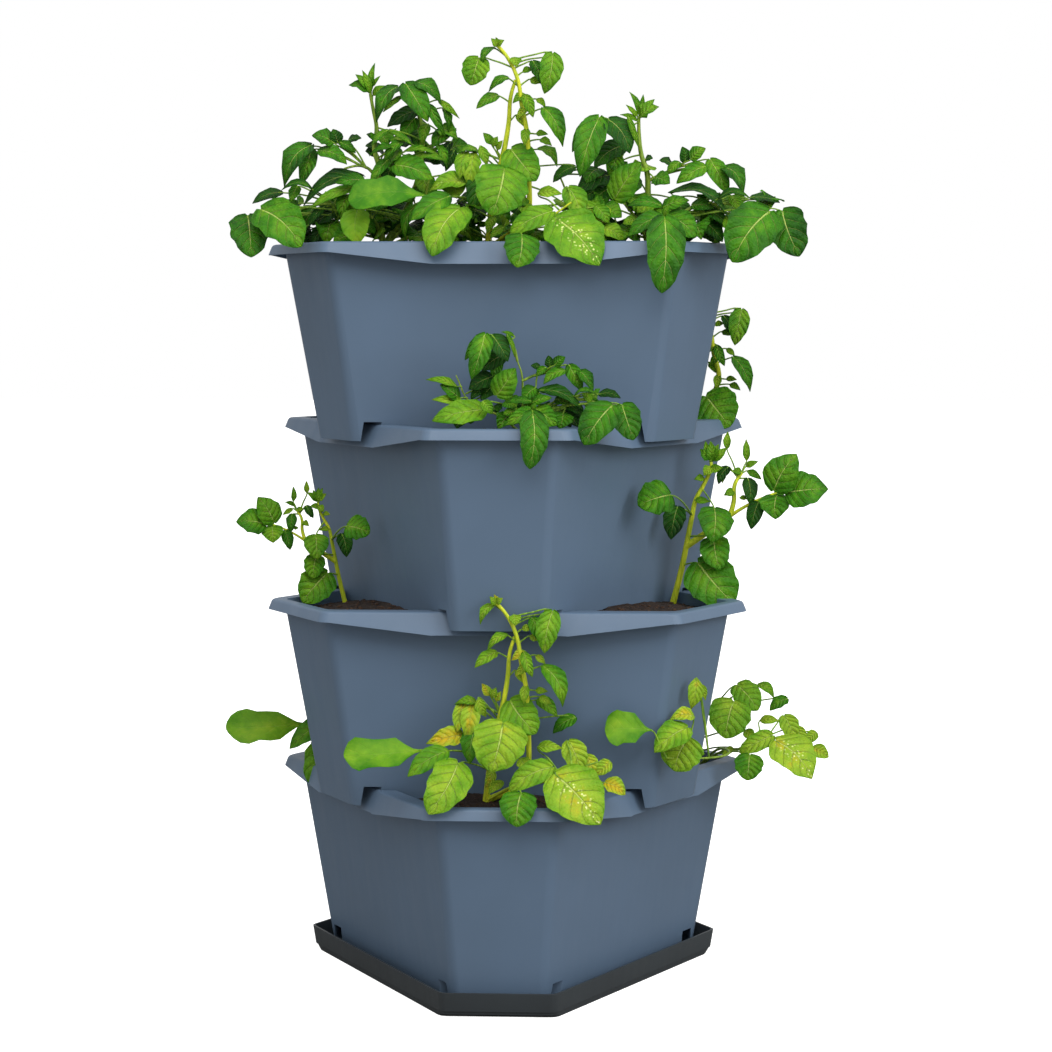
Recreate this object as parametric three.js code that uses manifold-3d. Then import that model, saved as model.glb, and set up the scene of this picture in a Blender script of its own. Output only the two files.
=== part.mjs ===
// A vertical planter tower: a saucer and four stacked pots, filled with soil and planted.
// Millimetres, +Z up, origin on the floor under the middle of the saucer, front towards -Y.
import * as THREE from 'three';
import { mergeVertices } from 'three/addons/utils/BufferGeometryUtils.js';
import Module from 'manifold-3d';

const wasm = await Module();
wasm.setup();

// Every ring of the tower is a triangle with its corners cut off: three long sides, three short ones.
// Of each ring, long is the distance from the axis to a long side and short to a short side.
const gap = 0.3; // between solids that rest on each other
const overrun = 5; // how far a cutting solid runs past what it cuts

const pot = {
  height: 206.5,
  wall: 3,
  floor: 3,
  baseLong: 143,
  baseShort: 206,
  topLong: 172.5,
  topShort: 242,
  cornerRadius: 14,
};
const rim = {
  pastLong: 14.8, // outer edge of the flat top, past the pot's wall at a long side
  pastShort: 8.9, // and at a short one
  edgeRadius: 2.5,
  flare: 0.35, // the outer face leans out by this share of its depth
  thickness: 2.5,
  cornerDepth: 11.2, // depth of the skirt round the short sides
  middleDepth: 23.5, // depth of the skirt in the middle of each long side
  recess: 2.5, // how far that middle stands back, behind the foot of the pot above
  recessBend: 7, // width of the bend on either side of the recess
  ribThickness: 2,
};
// A pot stands with its corners on ledges behind the skirt of the pot below. The tip of each corner
// hangs outside that skirt, which fits into a step in the upper pot's floor.
const nest = {
  depth: 17.4, // how far a pot sinks into the rim below
  clearance: 4.5, // beside the corner of the upper pot
  recessClearance: 6, // from there to the bend of the skirt
  liner: 2.5, // wall round the ledge and thickness of the ledge
};
const step = {
  height: 20,
  clearance: 1, // behind the skirt below
  hookBottom: 8, // how far the tip reaches round onto the long side, at its foot
  hookTop: 14, // and at the top of the step
};
const drain = { radius: 5, circleRadius: 90, count: 6, sides: 6 };
const saucer = {
  height: 26,
  wall: 2.5,
  floor: 3,
  topPastLong: 20.5, // past the foot of the pot, at a long side
  topPastShort: 20.3, // and at a short one
  stepPastLong: 18.2,
  stepPastShort: 16.5,
  stepIn: 1,
  stepHeight: 6.5,
  footPastLong: 15.5,
  footPastShort: 9,
  cornerRadius: 10,
  ribHeight: 5.7,
  ribWidth: 5,
  ribGap: 4, // from the rib's end to the wall
};
const soil = {
  edgeDepth: 12, // below the rim, at the wall
  crown: 7, // above the rim, on the axis
  clearance: 0.8, // round the pot that stands in it
};

const arcSteps = 2; // flats round each corner
const sideTurn = 60;
const degree = Math.PI / 180;
const half = (length) => length / 2;
const direction = (angle) => [Math.cos(angle * degree), Math.sin(angle * degree)];
// The six sides by the angle of their normal: short, long, short, long, short, long.
const sideAngles = [-90, -30, 30, 90, 150, 210];
const isLong = (side) => side % 2 === 1;

// The corner between a side and the next one, for their two distances from the axis.
function corner(angle, here, next) {
  const [nx, ny] = direction(angle);
  const along = (next - here * Math.cos(sideTurn * degree)) / Math.sin(sideTurn * degree);
  return [here * nx - along * ny, here * ny + along * nx];
}

const halfShortSide = (long, short) => (2 * long - short) / Math.sqrt(3);
const halfLongSide = (long, short) => (2 * short - long) / Math.sqrt(3);

// One ring of points. A middle gives its long sides four points more: the outer two have a distance and
// a height of their own, so that the skirt can grow deeper towards them, and the inner two stand back.
function ring(long, short, radius, z, middle = null) {
  const points = [];
  sideAngles.forEach((angle, side) => {
    const [nx, ny] = direction(angle);
    if (isLong(side) && middle) {
      const outer = recessHalf + rim.recessBend;
      const { back } = middle;
      for (const [along, less] of [[-outer, 0], [-recessHalf, back], [recessHalf, back], [outer, 0]]) {
        const out = middle.long - less;
        points.push([out * nx - along * ny, out * ny + along * nx, middle.z]);
      }
    }
    const [here, next] = isLong(side) ? [long, short] : [short, long];
    const [cx, cy] = corner(angle, here - radius, next - radius);
    for (let step = 0; step <= arcSteps; step += 1) {
      const [dx, dy] = direction(angle + (sideTurn * step) / arcSteps);
      points.push([cx + radius * dx, cy + radius * dy, z]);
    }
  });
  return points;
}

// A closed solid through rings, from the middle of the first to the middle of the last. The rings run
// down the outside of the solid, and each turns anticlockwise seen from above.
function loft(rings, firstCentreZ = rings[0][0][2], lastCentreZ = rings.at(-1)[0][2]) {
  const count = rings[0].length;
  const middle = (ringPoints, z) => [
    ringPoints.reduce((sum, point) => sum + point[0], 0) / count,
    ringPoints.reduce((sum, point) => sum + point[1], 0) / count,
    z,
  ];
  const points = [...rings.flat(), middle(rings[0], firstCentreZ), middle(rings.at(-1), lastCentreZ)];
  const top = points.length - 2;
  const bottom = points.length - 1;
  const lastRing = (rings.length - 1) * count;
  const faces = [];
  for (let i = 0; i < count; i += 1) {
    const next = (i + 1) % count;
    faces.push([top, i, next], [bottom, lastRing + next, lastRing + i]);
    for (let row = 0; row < lastRing; row += count) {
      faces.push([row + i, row + count + i, row + count + next], [row + i, row + count + next, row + next]);
    }
  }
  return solidFrom(points, faces);
}

function solidFrom(points, faces) {
  const geometry = new THREE.BufferGeometry();
  geometry.setAttribute('position', new THREE.Float32BufferAttribute(points.flat(), 3));
  geometry.setIndex(faces.flat());
  return solidOf(geometry);
}

function solidOf(geometry) {
  geometry.deleteAttribute('normal');
  geometry.deleteAttribute('uv');
  const merged = mergeVertices(geometry);
  return new wasm.Manifold(new wasm.Mesh({
    numProp: 3,
    vertProperties: merged.attributes.position.array,
    triVerts: Uint32Array.from(merged.index.array),
  }));
}

function geometryOf(solid) {
  const mesh = solid.getMesh();
  const geometry = new THREE.BufferGeometry();
  geometry.setAttribute('position', new THREE.Float32BufferAttribute(mesh.vertProperties, 3));
  geometry.setIndex(Array.from(mesh.triVerts));
  const flat = geometry.toNonIndexed();
  flat.computeVertexNormals();
  return flat;
}

const joined = (solids) => solids.reduce((whole, next) => whole.add(next));

function block(width, depth, height, x, y, z, turn) {
  const geometry = new THREE.BoxGeometry(width, depth, height);
  geometry.translate(x, y, z);
  geometry.rotateZ(turn * degree);
  return solidOf(geometry);
}

// Distances of the pot's outer wall at a height above its base, grown by a margin.
function wallAt(height, margin = 0) {
  const share = height / (pot.height - rim.thickness);
  return {
    long: pot.baseLong + (pot.topLong - pot.baseLong) * share + margin,
    short: pot.baseShort + (pot.topShort - pot.baseShort) * share + margin,
  };
}
function wallRing(height, margin = 0, hasMiddle = false) {
  const { long, short } = wallAt(height, margin);
  const middle = hasMiddle ? { long, z: height, back: 0 } : null;
  return ring(long, short, pot.cornerRadius + margin, height, middle);
}

const ledgeZ = pot.height - nest.depth - gap;
const rimTop = { long: pot.topLong + rim.pastLong, short: pot.topShort + rim.pastShort };
const skirtLong = rimTop.long + rim.flare * rim.middleDepth;
const recessHalf = halfShortSide(pot.baseLong, pot.baseShort)
  + (pot.baseShort - skirtLong) / Math.sqrt(3) + nest.clearance + nest.recessClearance;

// The outer face of the rim at a depth below its top.
const rimAt = (depth, margin = 0) => ({
  long: rimTop.long + rim.flare * depth + margin,
  short: rimTop.short + rim.flare * depth + margin,
});
function rimRing(depth, margin) {
  const { long, short } = rimAt(depth, margin);
  const z = pot.height - depth;
  return ring(long, short, pot.cornerRadius, z, { long, z, back: rim.recess });
}
// The lower edge of the skirt, which deepens along the long sides towards their middle.
function skirtRing(margin) {
  const shallow = rimAt(rim.cornerDepth, margin);
  const deep = rimAt(rim.middleDepth, margin);
  return ring(shallow.long, shallow.short, pot.cornerRadius, pot.height - rim.cornerDepth, {
    long: deep.long,
    z: pot.height - rim.middleDepth,
    back: rim.recess,
  });
}

// A solid square to a side, through levels from the top one down. Each level reaches from one distance
// from the axis to another, and has a half width at each.
function wedge(angle, levels) {
  const [nx, ny] = direction(angle);
  const place = (out, along, z) => [out * nx - along * ny, out * ny + along * nx, z];
  return loft(levels.map(({ z, from, to, halfFrom, halfTo }) => [
    place(to, -halfTo, z),
    place(to, halfTo, z),
    place(from, halfFrom, z),
    place(from, -halfFrom, z),
  ]));
}

// The space over a ledge, for the corner of the pot above: its tapered outline with clearance, out to the
// inner face of the skirt, and past it by as much as is asked.
const skirtInside = (z) => (
  rimTop.long + rim.flare * (pot.height - z) - rim.recess - rim.thickness
);
function ledgeSpace(angle, grow, past) {
  const level = (z) => {
    const { long, short } = wallAt(z - ledgeZ);
    const from = pot.baseLong;
    const to = skirtInside(z) + past;
    const halfAt = (out) => halfShortSide(long, short) + (short - out) / Math.sqrt(3)
      + nest.clearance + grow;
    return { z, from, to, halfFrom: halfAt(from), halfTo: halfAt(to) };
  };
  return wedge(angle, [level(pot.height + overrun), level(ledgeZ - grow)]);
}

// The wall round each ledge and the ledge itself: that space grown by the liner, kept between pot wall
// and skirt.
function ledgeLiners(angles) {
  const spaces = joined(angles.map((angle) => ledgeSpace(angle, nest.liner, overrun)));
  const bottom = ledgeZ - nest.liner;
  const top = pot.height - half(rim.thickness);
  const outer = loft([
    rimRing(pot.height - top, -half(rim.thickness)),
    rimRing(pot.height - bottom, -half(rim.thickness)),
  ]);
  const { long, short } = wallAt(bottom, -half(pot.wall));
  const inner = loft([
    ring(long, short, pot.cornerRadius, pot.height + overrun),
    ring(long, short, pot.cornerRadius, bottom - overrun),
  ]);
  return spaces.intersect(outer).subtract(inner);
}

// The step in the floor of a corner, from behind the skirt of the pot below outwards.
const stepFrom = skirtInside(pot.height) - step.clearance;
function stepSpace(angle, grow, outAt) {
  const level = (z) => ({
    z,
    from: stepFrom - grow,
    to: outAt(z),
    halfFrom: pot.topShort,
    halfTo: pot.topShort,
  });
  return wedge(angle, [level(step.height + grow), level(-overrun)]);
}
const pastPot = () => pot.topShort + overrun;
// Where the step opens through a long side: up to the tip's reach along that side.
function hookOut(z) {
  const reach = step.hookBottom + (step.hookTop - step.hookBottom) * (z / step.height);
  return wallAt(z).short - reach * Math.sin(sideTurn * degree);
}

// Small ribs that carry the rim, two at each short side.
function rimRibs() {
  const depth = rim.cornerDepth - rim.thickness;
  const innerEnd = pot.topShort - half(pot.wall);
  const outerEnd = rimTop.short - half(rim.thickness);
  const place = half(halfShortSide(rimTop.long, rimTop.short));
  const z = pot.height - half(rim.thickness) - half(depth);
  const width = outerEnd - innerEnd;
  const shortAngles = sideAngles.filter((angle, side) => !isLong(side));
  return shortAngles.flatMap((angle) => [-place, place].map((along) => (
    block(width, rim.ribThickness, depth, half(innerEnd + outerEnd), along, z, angle)
  )));
}

function makePot() {
  const longAngles = sideAngles.filter((angle, side) => isLong(side));
  const shortAngles = sideAngles.filter((angle, side) => !isLong(side));
  const inside = -pot.wall;
  const shell = loft([
    wallRing(pot.floor, inside, true),
    wallRing(pot.height, inside, true),
    rimRing(0, -rim.edgeRadius),
    rimRing(rim.edgeRadius * (1 - Math.SQRT1_2), rim.edgeRadius * (Math.SQRT1_2 - 1)),
    rimRing(rim.edgeRadius, 0),
    skirtRing(0),
    skirtRing(-rim.thickness),
    rimRing(rim.thickness, -rim.thickness),
    wallRing(pot.height - rim.thickness, 0, true),
    wallRing(0, 0, true),
  ]);
  const steps = joined(shortAngles.map((angle) => stepSpace(angle, pot.wall, pastPot)))
    .intersect(loft([wallRing(pot.height, half(inside)), wallRing(0, half(inside))]));
  const underTips = joined(shortAngles.map((angle) => stepSpace(angle, 0, pastPot)))
    .intersect(loft([wallRing(pot.height, inside), wallRing(-overrun, inside)]));
  const drains = Array.from({ length: drain.count }, (unused, i) => {
    const depth = pot.floor + 2 * overrun;
    const hole = new THREE.CylinderGeometry(drain.radius, drain.radius, depth, drain.sides);
    hole.rotateX(90 * degree);
    const [x, y] = direction((360 * i) / drain.count);
    hole.translate(drain.circleRadius * x, drain.circleRadius * y, half(pot.floor));
    return solidOf(hole);
  });
  return joined([shell, steps, ledgeLiners(longAngles), ...rimRibs()]).subtract(joined([
    underTips,
    ...longAngles.map((angle) => ledgeSpace(angle, 0, gap)),
    ...shortAngles.map((angle) => stepSpace(angle, 0, hookOut)),
    ...drains,
  ]));
}

function makeSaucer() {
  const past = (long, short, z) => ring(pot.baseLong + long, pot.baseShort + short, saucer.cornerRadius, z);
  const { wall, stepIn, topPastLong, topPastShort, stepPastLong, stepPastShort } = saucer;
  const shell = loft([
    past(stepPastLong - wall, stepPastShort - wall, saucer.floor),
    past(topPastLong - wall, topPastShort - wall, saucer.height),
    past(topPastLong, topPastShort, saucer.height),
    past(stepPastLong, stepPastShort, saucer.stepHeight),
    past(stepPastLong - stepIn, stepPastShort - stepIn, saucer.stepHeight),
    past(saucer.footPastLong, saucer.footPastShort, 0),
  ]);
  const ribs = sideAngles.map((angle, side) => {
    const edge = isLong(side) ? pot.baseLong + stepPastLong : pot.baseShort + stepPastShort;
    const reach = edge - wall - saucer.ribGap;
    const height = saucer.ribHeight + half(saucer.floor);
    return block(reach, saucer.ribWidth, height, half(reach), 0, half(saucer.floor) + half(height), angle);
  });
  return joined([shell, ...ribs]);
}

// Height of the soil at a place in its pot, above the pot's base: a shallow cone under the plants.
const soilEdge = wallAt(pot.height - soil.edgeDepth, -pot.wall - gap);
function soilHeight(x, y) {
  const reach = Math.max(...sideAngles.map((angle, side) => {
    const [nx, ny] = direction(angle);
    return (x * nx + y * ny) / (isLong(side) ? soilEdge.long : soilEdge.short);
  }));
  return pot.height + soil.crown - (soil.crown + soil.edgeDepth) * reach;
}

function makeSoil(covered) {
  const margin = -pot.wall - gap;
  const steps = sideAngles.filter((angle, side) => !isLong(side))
    .map((angle) => stepSpace(angle, pot.wall + gap, pastPot));
  const fill = loft([
    wallRing(pot.height - soil.edgeDepth, margin),
    wallRing(pot.floor + gap, margin),
  ], pot.height + soil.crown).subtract(joined(steps));
  if (!covered) return fill;
  const standing = loft([
    wallRing(nest.depth + soil.crown + overrun, soil.clearance),
    wallRing(0, soil.clearance),
  ]).rotate([0, 0, 180]).translate([0, 0, pot.height - nest.depth - soil.clearance]);
  return fill.subtract(standing);
}

// Plants. Places across and up are shares of the plant's span, and out is a share of its reach, the
// distance from the foot of the stem to a place just outside the rim. Up is counted from the top of
// the rim. A leaf row holds: its stem, the height on that stem where it springs, then across, out and
// up of the blade's foot, the same of its tip, and its width.
const plant = {
  spanWidth: 200,
  reachDepth: 88,
  rimClearance: 4,
  stemRadius: 2.6,
  tipRadius: 1.3,
  petioleRadius: 1.1,
  bladeThickness: 2,
  stemSides: 4,
  petioleSides: 3,
  smallestShare: 0.075, // narrower blades are left out
  wideShare: 0.12, // narrower blades have fewer facets
  groundShare: 0.05, // a stem that starts lower than this comes out of the ground
};
const frontStemShares = [[0, 0, 0], [0.02, 0.05, 0.12], [0.075, 0.2, 0.4]];
const frontStemTopShares = [[0.105, 0.32, 0.56], [0.125, 0.42, 0.68], [0.155, 0.485, 0.755]];
const sideShootShares = [[0.01, 0.02, 0.02], [0.12, 0.3, 0.07], [0.28, 0.6, 0.12], [0.4, 0.7, 0.2]];
const secondStemShares = [
  [0.01, 0.02, 0.01], [0.12, 0.1, 0.06], [0.21, 0.18, 0.16], [0.213, 0.25, 0.26], [0.208, 0.38, 0.49],
  [0.185, 0.45, 0.63], [0.16, 0.5, 0.77], [0.125, 0.52, 0.88], [0.083, 0.55, 0.96],
];
const lowLeftLeafShares = [
  [0, 0.1, -0.31, 0.5, 0.23, -0.68, 0.75, 0.2, 0.17],
  [0, 0.25, -0.1, 0.25, 0.25, -0.28, 0.42, 0.26, 0.09],
  [0, 0.12, -0.12, 0.45, 0.19, -0.38, 0.85, 0.08, 0.15],
  [0, 0.08, -0.13, 0.65, 0.17, -0.25, 1.1, -0.07, 0.21],
  [0, 0.38, -0.1, 0.25, 0.47, -0.13, 0.4, 0.29, 0.08],
];
const lowRightLeafShares = [
  [0, 0.38, 0.09, 0.3, 0.37, 0.05, 0.62, 0.12, 0.26],
  [0, 0.36, -0.03, 0.18, 0.38, -0.07, 0.4, 0.15, 0.18],
  [0, 0.39, 0.1, 0.2, 0.43, 0.27, 0.42, 0.28, 0.22],
  [0, 0.15, 0.19, 0.4, 0.19, 0.12, 0.6, 0.13, 0.06],
  [1, 0.12, 0.31, 0.75, 0.15, 0.13, 0.95, 0.05, 0.14],
  [1, 0.13, 0.31, 0.85, 0.12, 0.63, 1.15, -0.02, 0.22],
  [1, 0.1, 0.22, 0.95, 0.09, 0.14, 1.12, -0.11, 0.15],
  [1, 0.14, 0.35, 0.6, 0.21, 0.32, 0.7, 0.12, 0.08],
  [1, 0.16, 0.23, 0.5, 0.25, 0.35, 0.6, 0.25, 0.05],
  [1, 0.18, 0.45, 0.75, 0.11, 0.425, 0.75, 0.25, 0.07],
  [1, 0.18, 0.49, 0.75, 0.09, 0.515, 0.8, 0.19, 0.08],
];
const crownLeafShares = [
  [0, 0.54, 0.065, 0.35, 0.7, -0.045, 0.45, 0.66, 0.07],
  [2, 0.78, 0.14, 0.5, 0.81, 0.02, 0.62, 0.75, 0.07],
  [2, 0.95, 0.075, 0.58, 0.96, -0.075, 0.72, 0.84, 0.06],
  [2, 0.82, 0.24, 0.52, 0.885, 0.29, 0.62, 0.76, 0.07],
  [2, 0.78, 0.33, 0.55, 0.92, 0.3, 0.65, 0.73, 0.11],
  [2, 0.7, 0.195, 0.45, 0.72, 0.245, 0.58, 0.62, 0.05],
  [2, 0.56, 0.287, 0.5, 0.65, 0.393, 0.62, 0.47, 0.12],
];
const overRimLeafShares = [[2, 0.5, 0.1, 0.55, 0.46, 0.23, 0.72, 0.29, 0.22]];
const topmostLeafShares = [
  [2, 0.93, -0.01, 0.5, 0.89, -0.12, 0.62, 0.78, 0.13],
  [0, 0.38, 0.2, 0.25, 0.5, 0.31, 0.35, 0.4, 0.1],
  [0, 0.3, 0.27, 0.15, 0.39, 0.37, 0.2, 0.29, 0.1],
  [1, 0.16, 0.35, 0.6, 0.27, 0.46, 0.7, 0.12, 0.11],
  [1, 0.18, 0.49, 0.7, 0.19, 0.58, 0.85, 0.09, 0.09],
  [1, 0.19, 0.56, 0.72, 0.12, 0.66, 0.85, 0.01, 0.12],
];
// A shoot that grows forward round the corner of the pot above.
const cornerShootShares = [
  [0.01, 0.02, 0.02], [0.07, 0.6, 0.1], [0.12, 1.4, 0.145], [0.03, 2.15, 0.17], [-0.18, 2.7, 0.2],
  [-0.32, 3.05, 0.23],
];
const cornerLeafShares = [
  [2, 0.19, -0.185, 2.85, 0.33, -0.27, 2.95, 0.145, 0.21],
  [2, 0.2, -0.19, 2.9, 0.4, -0.395, 3.15, 0.285, 0.15],
  [2, 0.23, -0.41, 3.1, 0.4, -0.69, 3.15, 0.41, 0.17],
  [2, 0.2, -0.15, 2.75, 0.46, -0.29, 2.9, 0.46, 0.08],
  [2, 0.18, -0.125, 2.6, 0.685, -0.16, 2.67, 0.5, 0.08],
];
const slenderStemShares = [
  [[0, 0, 0], [0.04, 0.05, 0.12], [0.065, 0.1, 0.25], [0.09, 0.15, 0.39], [0.11, 0.2, 0.49],
    [0.15, 0.25, 0.57], [0.185, 0.3, 0.66], [0.18, 0.3, 0.71]],
  [[0.065, 0.1, 0.25], [0.19, 0.2, 0.34], [0.27, 0.25, 0.4], [0.3, 0.28, 0.48], [0.305, 0.3, 0.57],
    [0.34, 0.3, 0.63]],
  [[0.27, 0.25, 0.4], [0.355, 0.35, 0.46], [0.475, 0.45, 0.52], [0.57, 0.5, 0.55]],
];
const slenderLeafShares = [
  [0, 0.41, -0.045, 1.1, 0.54, -0.205, 1.2, 0.5, 0.17],
  [0, 0.41, 0.01, 0.45, 0.46, -0.03, 0.6, 0.31, 0.1],
  [0, 0.55, 0.2, 0.35, 0.45, 0.185, 0.55, 0.29, 0.155],
  [0, 0.3, 0.2, 0.3, 0.3, 0.22, 0.5, 0.15, 0.13],
  [0, 0.15, 0.12, 0.25, 0.22, 0.29, 0.5, 0.03, 0.22],
  [0, 0.68, 0.18, 0.32, 0.7, 0.15, 0.36, 0.78, 0.05],
  [1, 0.6, 0.27, 0.35, 0.66, 0.216, 0.42, 0.58, 0.05],
  [1, 0.6, 0.37, 0.33, 0.6, 0.38, 0.45, 0.48, 0.07],
  [2, 0.49, 0.42, 0.42, 0.485, 0.377, 0.5, 0.355, 0.075],
  [2, 0.54, 0.497, 0.46, 0.545, 0.605, 0.5, 0.73, 0.155],
  [2, 0.55, 0.562, 0.5, 0.535, 0.757, 0.62, 0.565, 0.175],
  [2, 0.53, 0.51, 0.46, 0.52, 0.497, 0.6, 0.41, 0.135],
];
const bushyStemShares = [
  [[0, 0, 0], [-0.005, 0.05, 0.21], [-0.0125, 0.1, 0.34], [-0.0425, 0.12, 0.44], [-0.05, 0.14, 0.525]],
  [[-0.01, 0.09, 0.32], [0.067, 0.1, 0.37], [0.143, 0.12, 0.4], [0.22, 0.15, 0.395], [0.295, 0.15, 0.36]],
  [[0.01, 0.02, 0.02], [0.1, 0.2, 0.13], [0.3, 0.3, 0.2], [0.5, 0.3, 0.17], [0.62, 0.25, 0.155]],
  [[-0.01, 0.02, 0.02], [-0.08, 0.1, 0.1], [-0.17, 0.2, 0.22], [-0.2, 0.2, 0.34]],
  [[-0.045, 0.13, 0.5], [-0.1, 0.2, 0.6], [-0.17, 0.25, 0.62], [-0.24, 0.3, 0.615]],
  [[-0.01, 0.02, 0.02], [-0.2, 0.1, 0.08], [-0.4, 0, 0.17], [-0.5, -0.05, 0.36]],
];
const bushyTopShares = [[-0.059, 0.16, 0.63], [-0.05, 0.18, 0.675]];
const bushyShootLeafShares = [
  [0, 0.63, -0.05, 0.16, 0.635, 0.043, 0.25, 0.675, 0.09],
  [0, 0.66, -0.05, 0.16, 0.66, -0.097, 0.2, 0.74, 0.05],
];
const bushyLeafShares = [
  [3, 0.33, -0.207, 0.1, 0.35, -0.15, 0.15, 0.46, 0.15],
  [3, 0.2, -0.178, 0.35, 0.22, -0.06, 0.5, 0.37, 0.17],
  [0, 0.16, 0.05, 0.35, 0.175, -0.093, 0.5, 0.17, 0.05],
  [0, 0.1, 0.06, 0.5, 0.115, -0.093, 0.8, 0.05, 0.1],
  [0, 0.12, 0.09, 0.5, 0.127, 0.245, 0.8, 0.05, 0.135],
  [0, 0.17, 0.075, 0.3, 0.185, 0.2, 0.5, 0.2, 0.08],
  [2, 0.19, 0.11, 0.1, 0.24, 0.41, 0.2, 0.18, 0.12],
  [1, 0.38, 0.135, 0.15, 0.39, 0.055, 0.2, 0.4, 0.055],
  [1, 0.395, 0.178, 0.15, 0.397, 0.178, 0.2, 0.48, 0.08],
  [1, 0.395, 0.22, 0.2, 0.397, 0.14, 0.35, 0.29, 0.13],
  [1, 0.39, 0.235, 0.2, 0.39, 0.29, 0.3, 0.47, 0.1],
  [1, 0.36, 0.295, 0.2, 0.355, 0.38, 0.3, 0.245, 0.12],
  [1, 0.36, 0.38, 0.15, 0.355, 0.48, 0.2, 0.235, 0.075],
  [2, 0.17, 0.355, 0.3, 0.21, 0.505, 0.35, 0.22, 0.075],
  [2, 0.155, 0.608, 0.3, 0.145, 0.42, 0.6, -0.093, 0.22],
  [2, 0.155, 0.685, 0.2, 0.145, 0.77, 0.3, -0.067, 0.17],
  [3, 0.08, -0.207, 0.5, 0.1, -0.11, 0.7, 0.05, 0.09],
  [3, 0.12, -0.265, 0.4, 0.175, -0.21, 0.5, 0.09, 0.08],
  [3, 0.22, -0.2, 0.2, 0.3, -0.365, 0.3, 0.225, 0.12],
  [2, 0.15, 0.255, 0.4, 0.18, 0.395, 0.6, 0.06, 0.1],
  [5, 0.1, -0.22, 0, 0.1, -0.42, 0.05, 0.12, 0.14],
  [5, 0.36, -0.51, -0.05, 0.38, -0.64, 0, 0.21, 0.11],
  [5, 0.3, -0.47, 0, 0.31, -0.38, 0.05, 0.4, 0.09],
  [0, 0.28, 0.02, 0.2, 0.31, 0.13, 0.3, 0.24, 0.1],
  [3, 0.26, -0.25, 0.25, 0.3, -0.31, 0.4, 0.13, 0.1],
];
// Hanging leaves of the plant on the right and of the cushion, and the high leaves of the one on the left.
const hangingLeafShares = [
  [4, 0.61, -0.241, 0.3, 0.61, -0.338, 0.5, 0.33, 0.13],
  [4, 0.61, -0.25, 0.28, 0.61, -0.375, 0.35, 0.465, 0.09],
  [4, 0.61, -0.173, 0.27, 0.6, -0.093, 0.45, 0.45, 0.135],
  [4, 0.58, -0.2, 0.2, 0.52, -0.26, 0.25, 0.38, 0.13],
  [0, 0.08, 0.097, 0.95, 0.12, 0.072, 1.12, -0.258, 0.165],
];
const highStemShares = [
  [-0.045, 0.13, 0.5], [-0.09, 0.18, 0.62], [-0.12, 0.22, 0.71], [-0.15, 0.25, 0.755], [-0.25, 0.3, 0.72],
];
const highLeafShares = [
  [4, 0.72, -0.11, 0.26, 0.73, 0.01, 0.45, 0.58, 0.12],
  [4, 0.75, -0.15, 0.25, 0.755, -0.31, 0.45, 0.66, 0.15],
  [4, 0.72, -0.29, 0.3, 0.68, -0.405, 0.4, 0.59, 0.08],
  [4, 0.6, -0.11, 0.2, 0.62, -0.19, 0.25, 0.5, 0.12],
  [4, 0.72, -0.27, 0.32, 0.65, -0.33, 0.4, 0.46, 0.12],
  [4, 0.56, 0.02, 0.25, 0.48, -0.24, 0.35, 0.42, 0.1],
  [3, 0.31, -0.21, 0.3, 0.43, -0.35, 0.4, 0.36, 0.09],
  [3, 0.3, -0.1, 0.25, 0.39, -0.27, 0.42, 0.27, 0.14],
  [3, 0.16, -0.25, 0.45, 0.21, 0.1, 0.6, 0.17, 0.16],
  [3, 0.1, 0.04, 0.5, 0.14, 0.14, 0.6, 0.03, 0.12],
  [2, 0.17, 0.115, 0.35, 0.23, 0.33, 0.5, 0.13, 0.08],
  [0, 0.2, 0.07, 0.2, 0.305, 0.195, 0.3, 0.265, 0.09],
  [5, 0.33, -0.4, 0.1, 0.47, -0.51, 0.15, 0.37, 0.1],
];
// Leaves that grow out of the left side of the cushion.
const sideLeafShares = [
  [5, 0.12, -0.44, 0.2, 0.09, -0.78, 0.35, 0.04, 0.16],
  [5, 0.2, -0.48, 0, 0.2, -0.6, 0.1, 0.3, 0.09],
];
const kinds = {
  left: { stems: [frontStemShares], leaves: lowLeftLeafShares },
  low: {
    stems: [frontStemShares, sideShootShares],
    leaves: [...lowLeftLeafShares, ...lowRightLeafShares],
  },
  corner: {
    stems: [frontStemShares, sideShootShares, cornerShootShares],
    leaves: [...lowRightLeafShares, ...cornerLeafShares],
  },
  tall: {
    stems: [[...frontStemShares, ...frontStemTopShares], sideShootShares, secondStemShares],
    leaves: [...lowLeftLeafShares, ...lowRightLeafShares, ...crownLeafShares],
  },
  topmost: {
    stems: [[...frontStemShares, ...frontStemTopShares], sideShootShares, secondStemShares],
    leaves: [...lowLeftLeafShares, ...lowRightLeafShares, ...crownLeafShares, ...topmostLeafShares],
  },
  crown: {
    stems: [[...frontStemShares, ...frontStemTopShares], sideShootShares, secondStemShares],
    leaves: [...overRimLeafShares, ...crownLeafShares],
  },
  slender: { stems: slenderStemShares, leaves: slenderLeafShares },
  bushy: {
    stems: [[...bushyStemShares[0], ...bushyTopShares], ...bushyStemShares.slice(1)],
    leaves: [...bushyShootLeafShares, ...bushyLeafShares, ...hangingLeafShares],
  },
  high: {
    stems: [
      [...bushyStemShares[0], ...bushyTopShares],
      ...bushyStemShares.slice(1, 4),
      highStemShares,
      bushyStemShares[5],
    ],
    leaves: [...bushyShootLeafShares, ...bushyLeafShares, ...highLeafShares],
  },
  cushion: {
    stems: bushyStemShares,
    leaves: [...bushyLeafShares, ...hangingLeafShares, ...sideLeafShares],
  },
};

const vector = (point) => new THREE.Vector3(...point);

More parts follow.
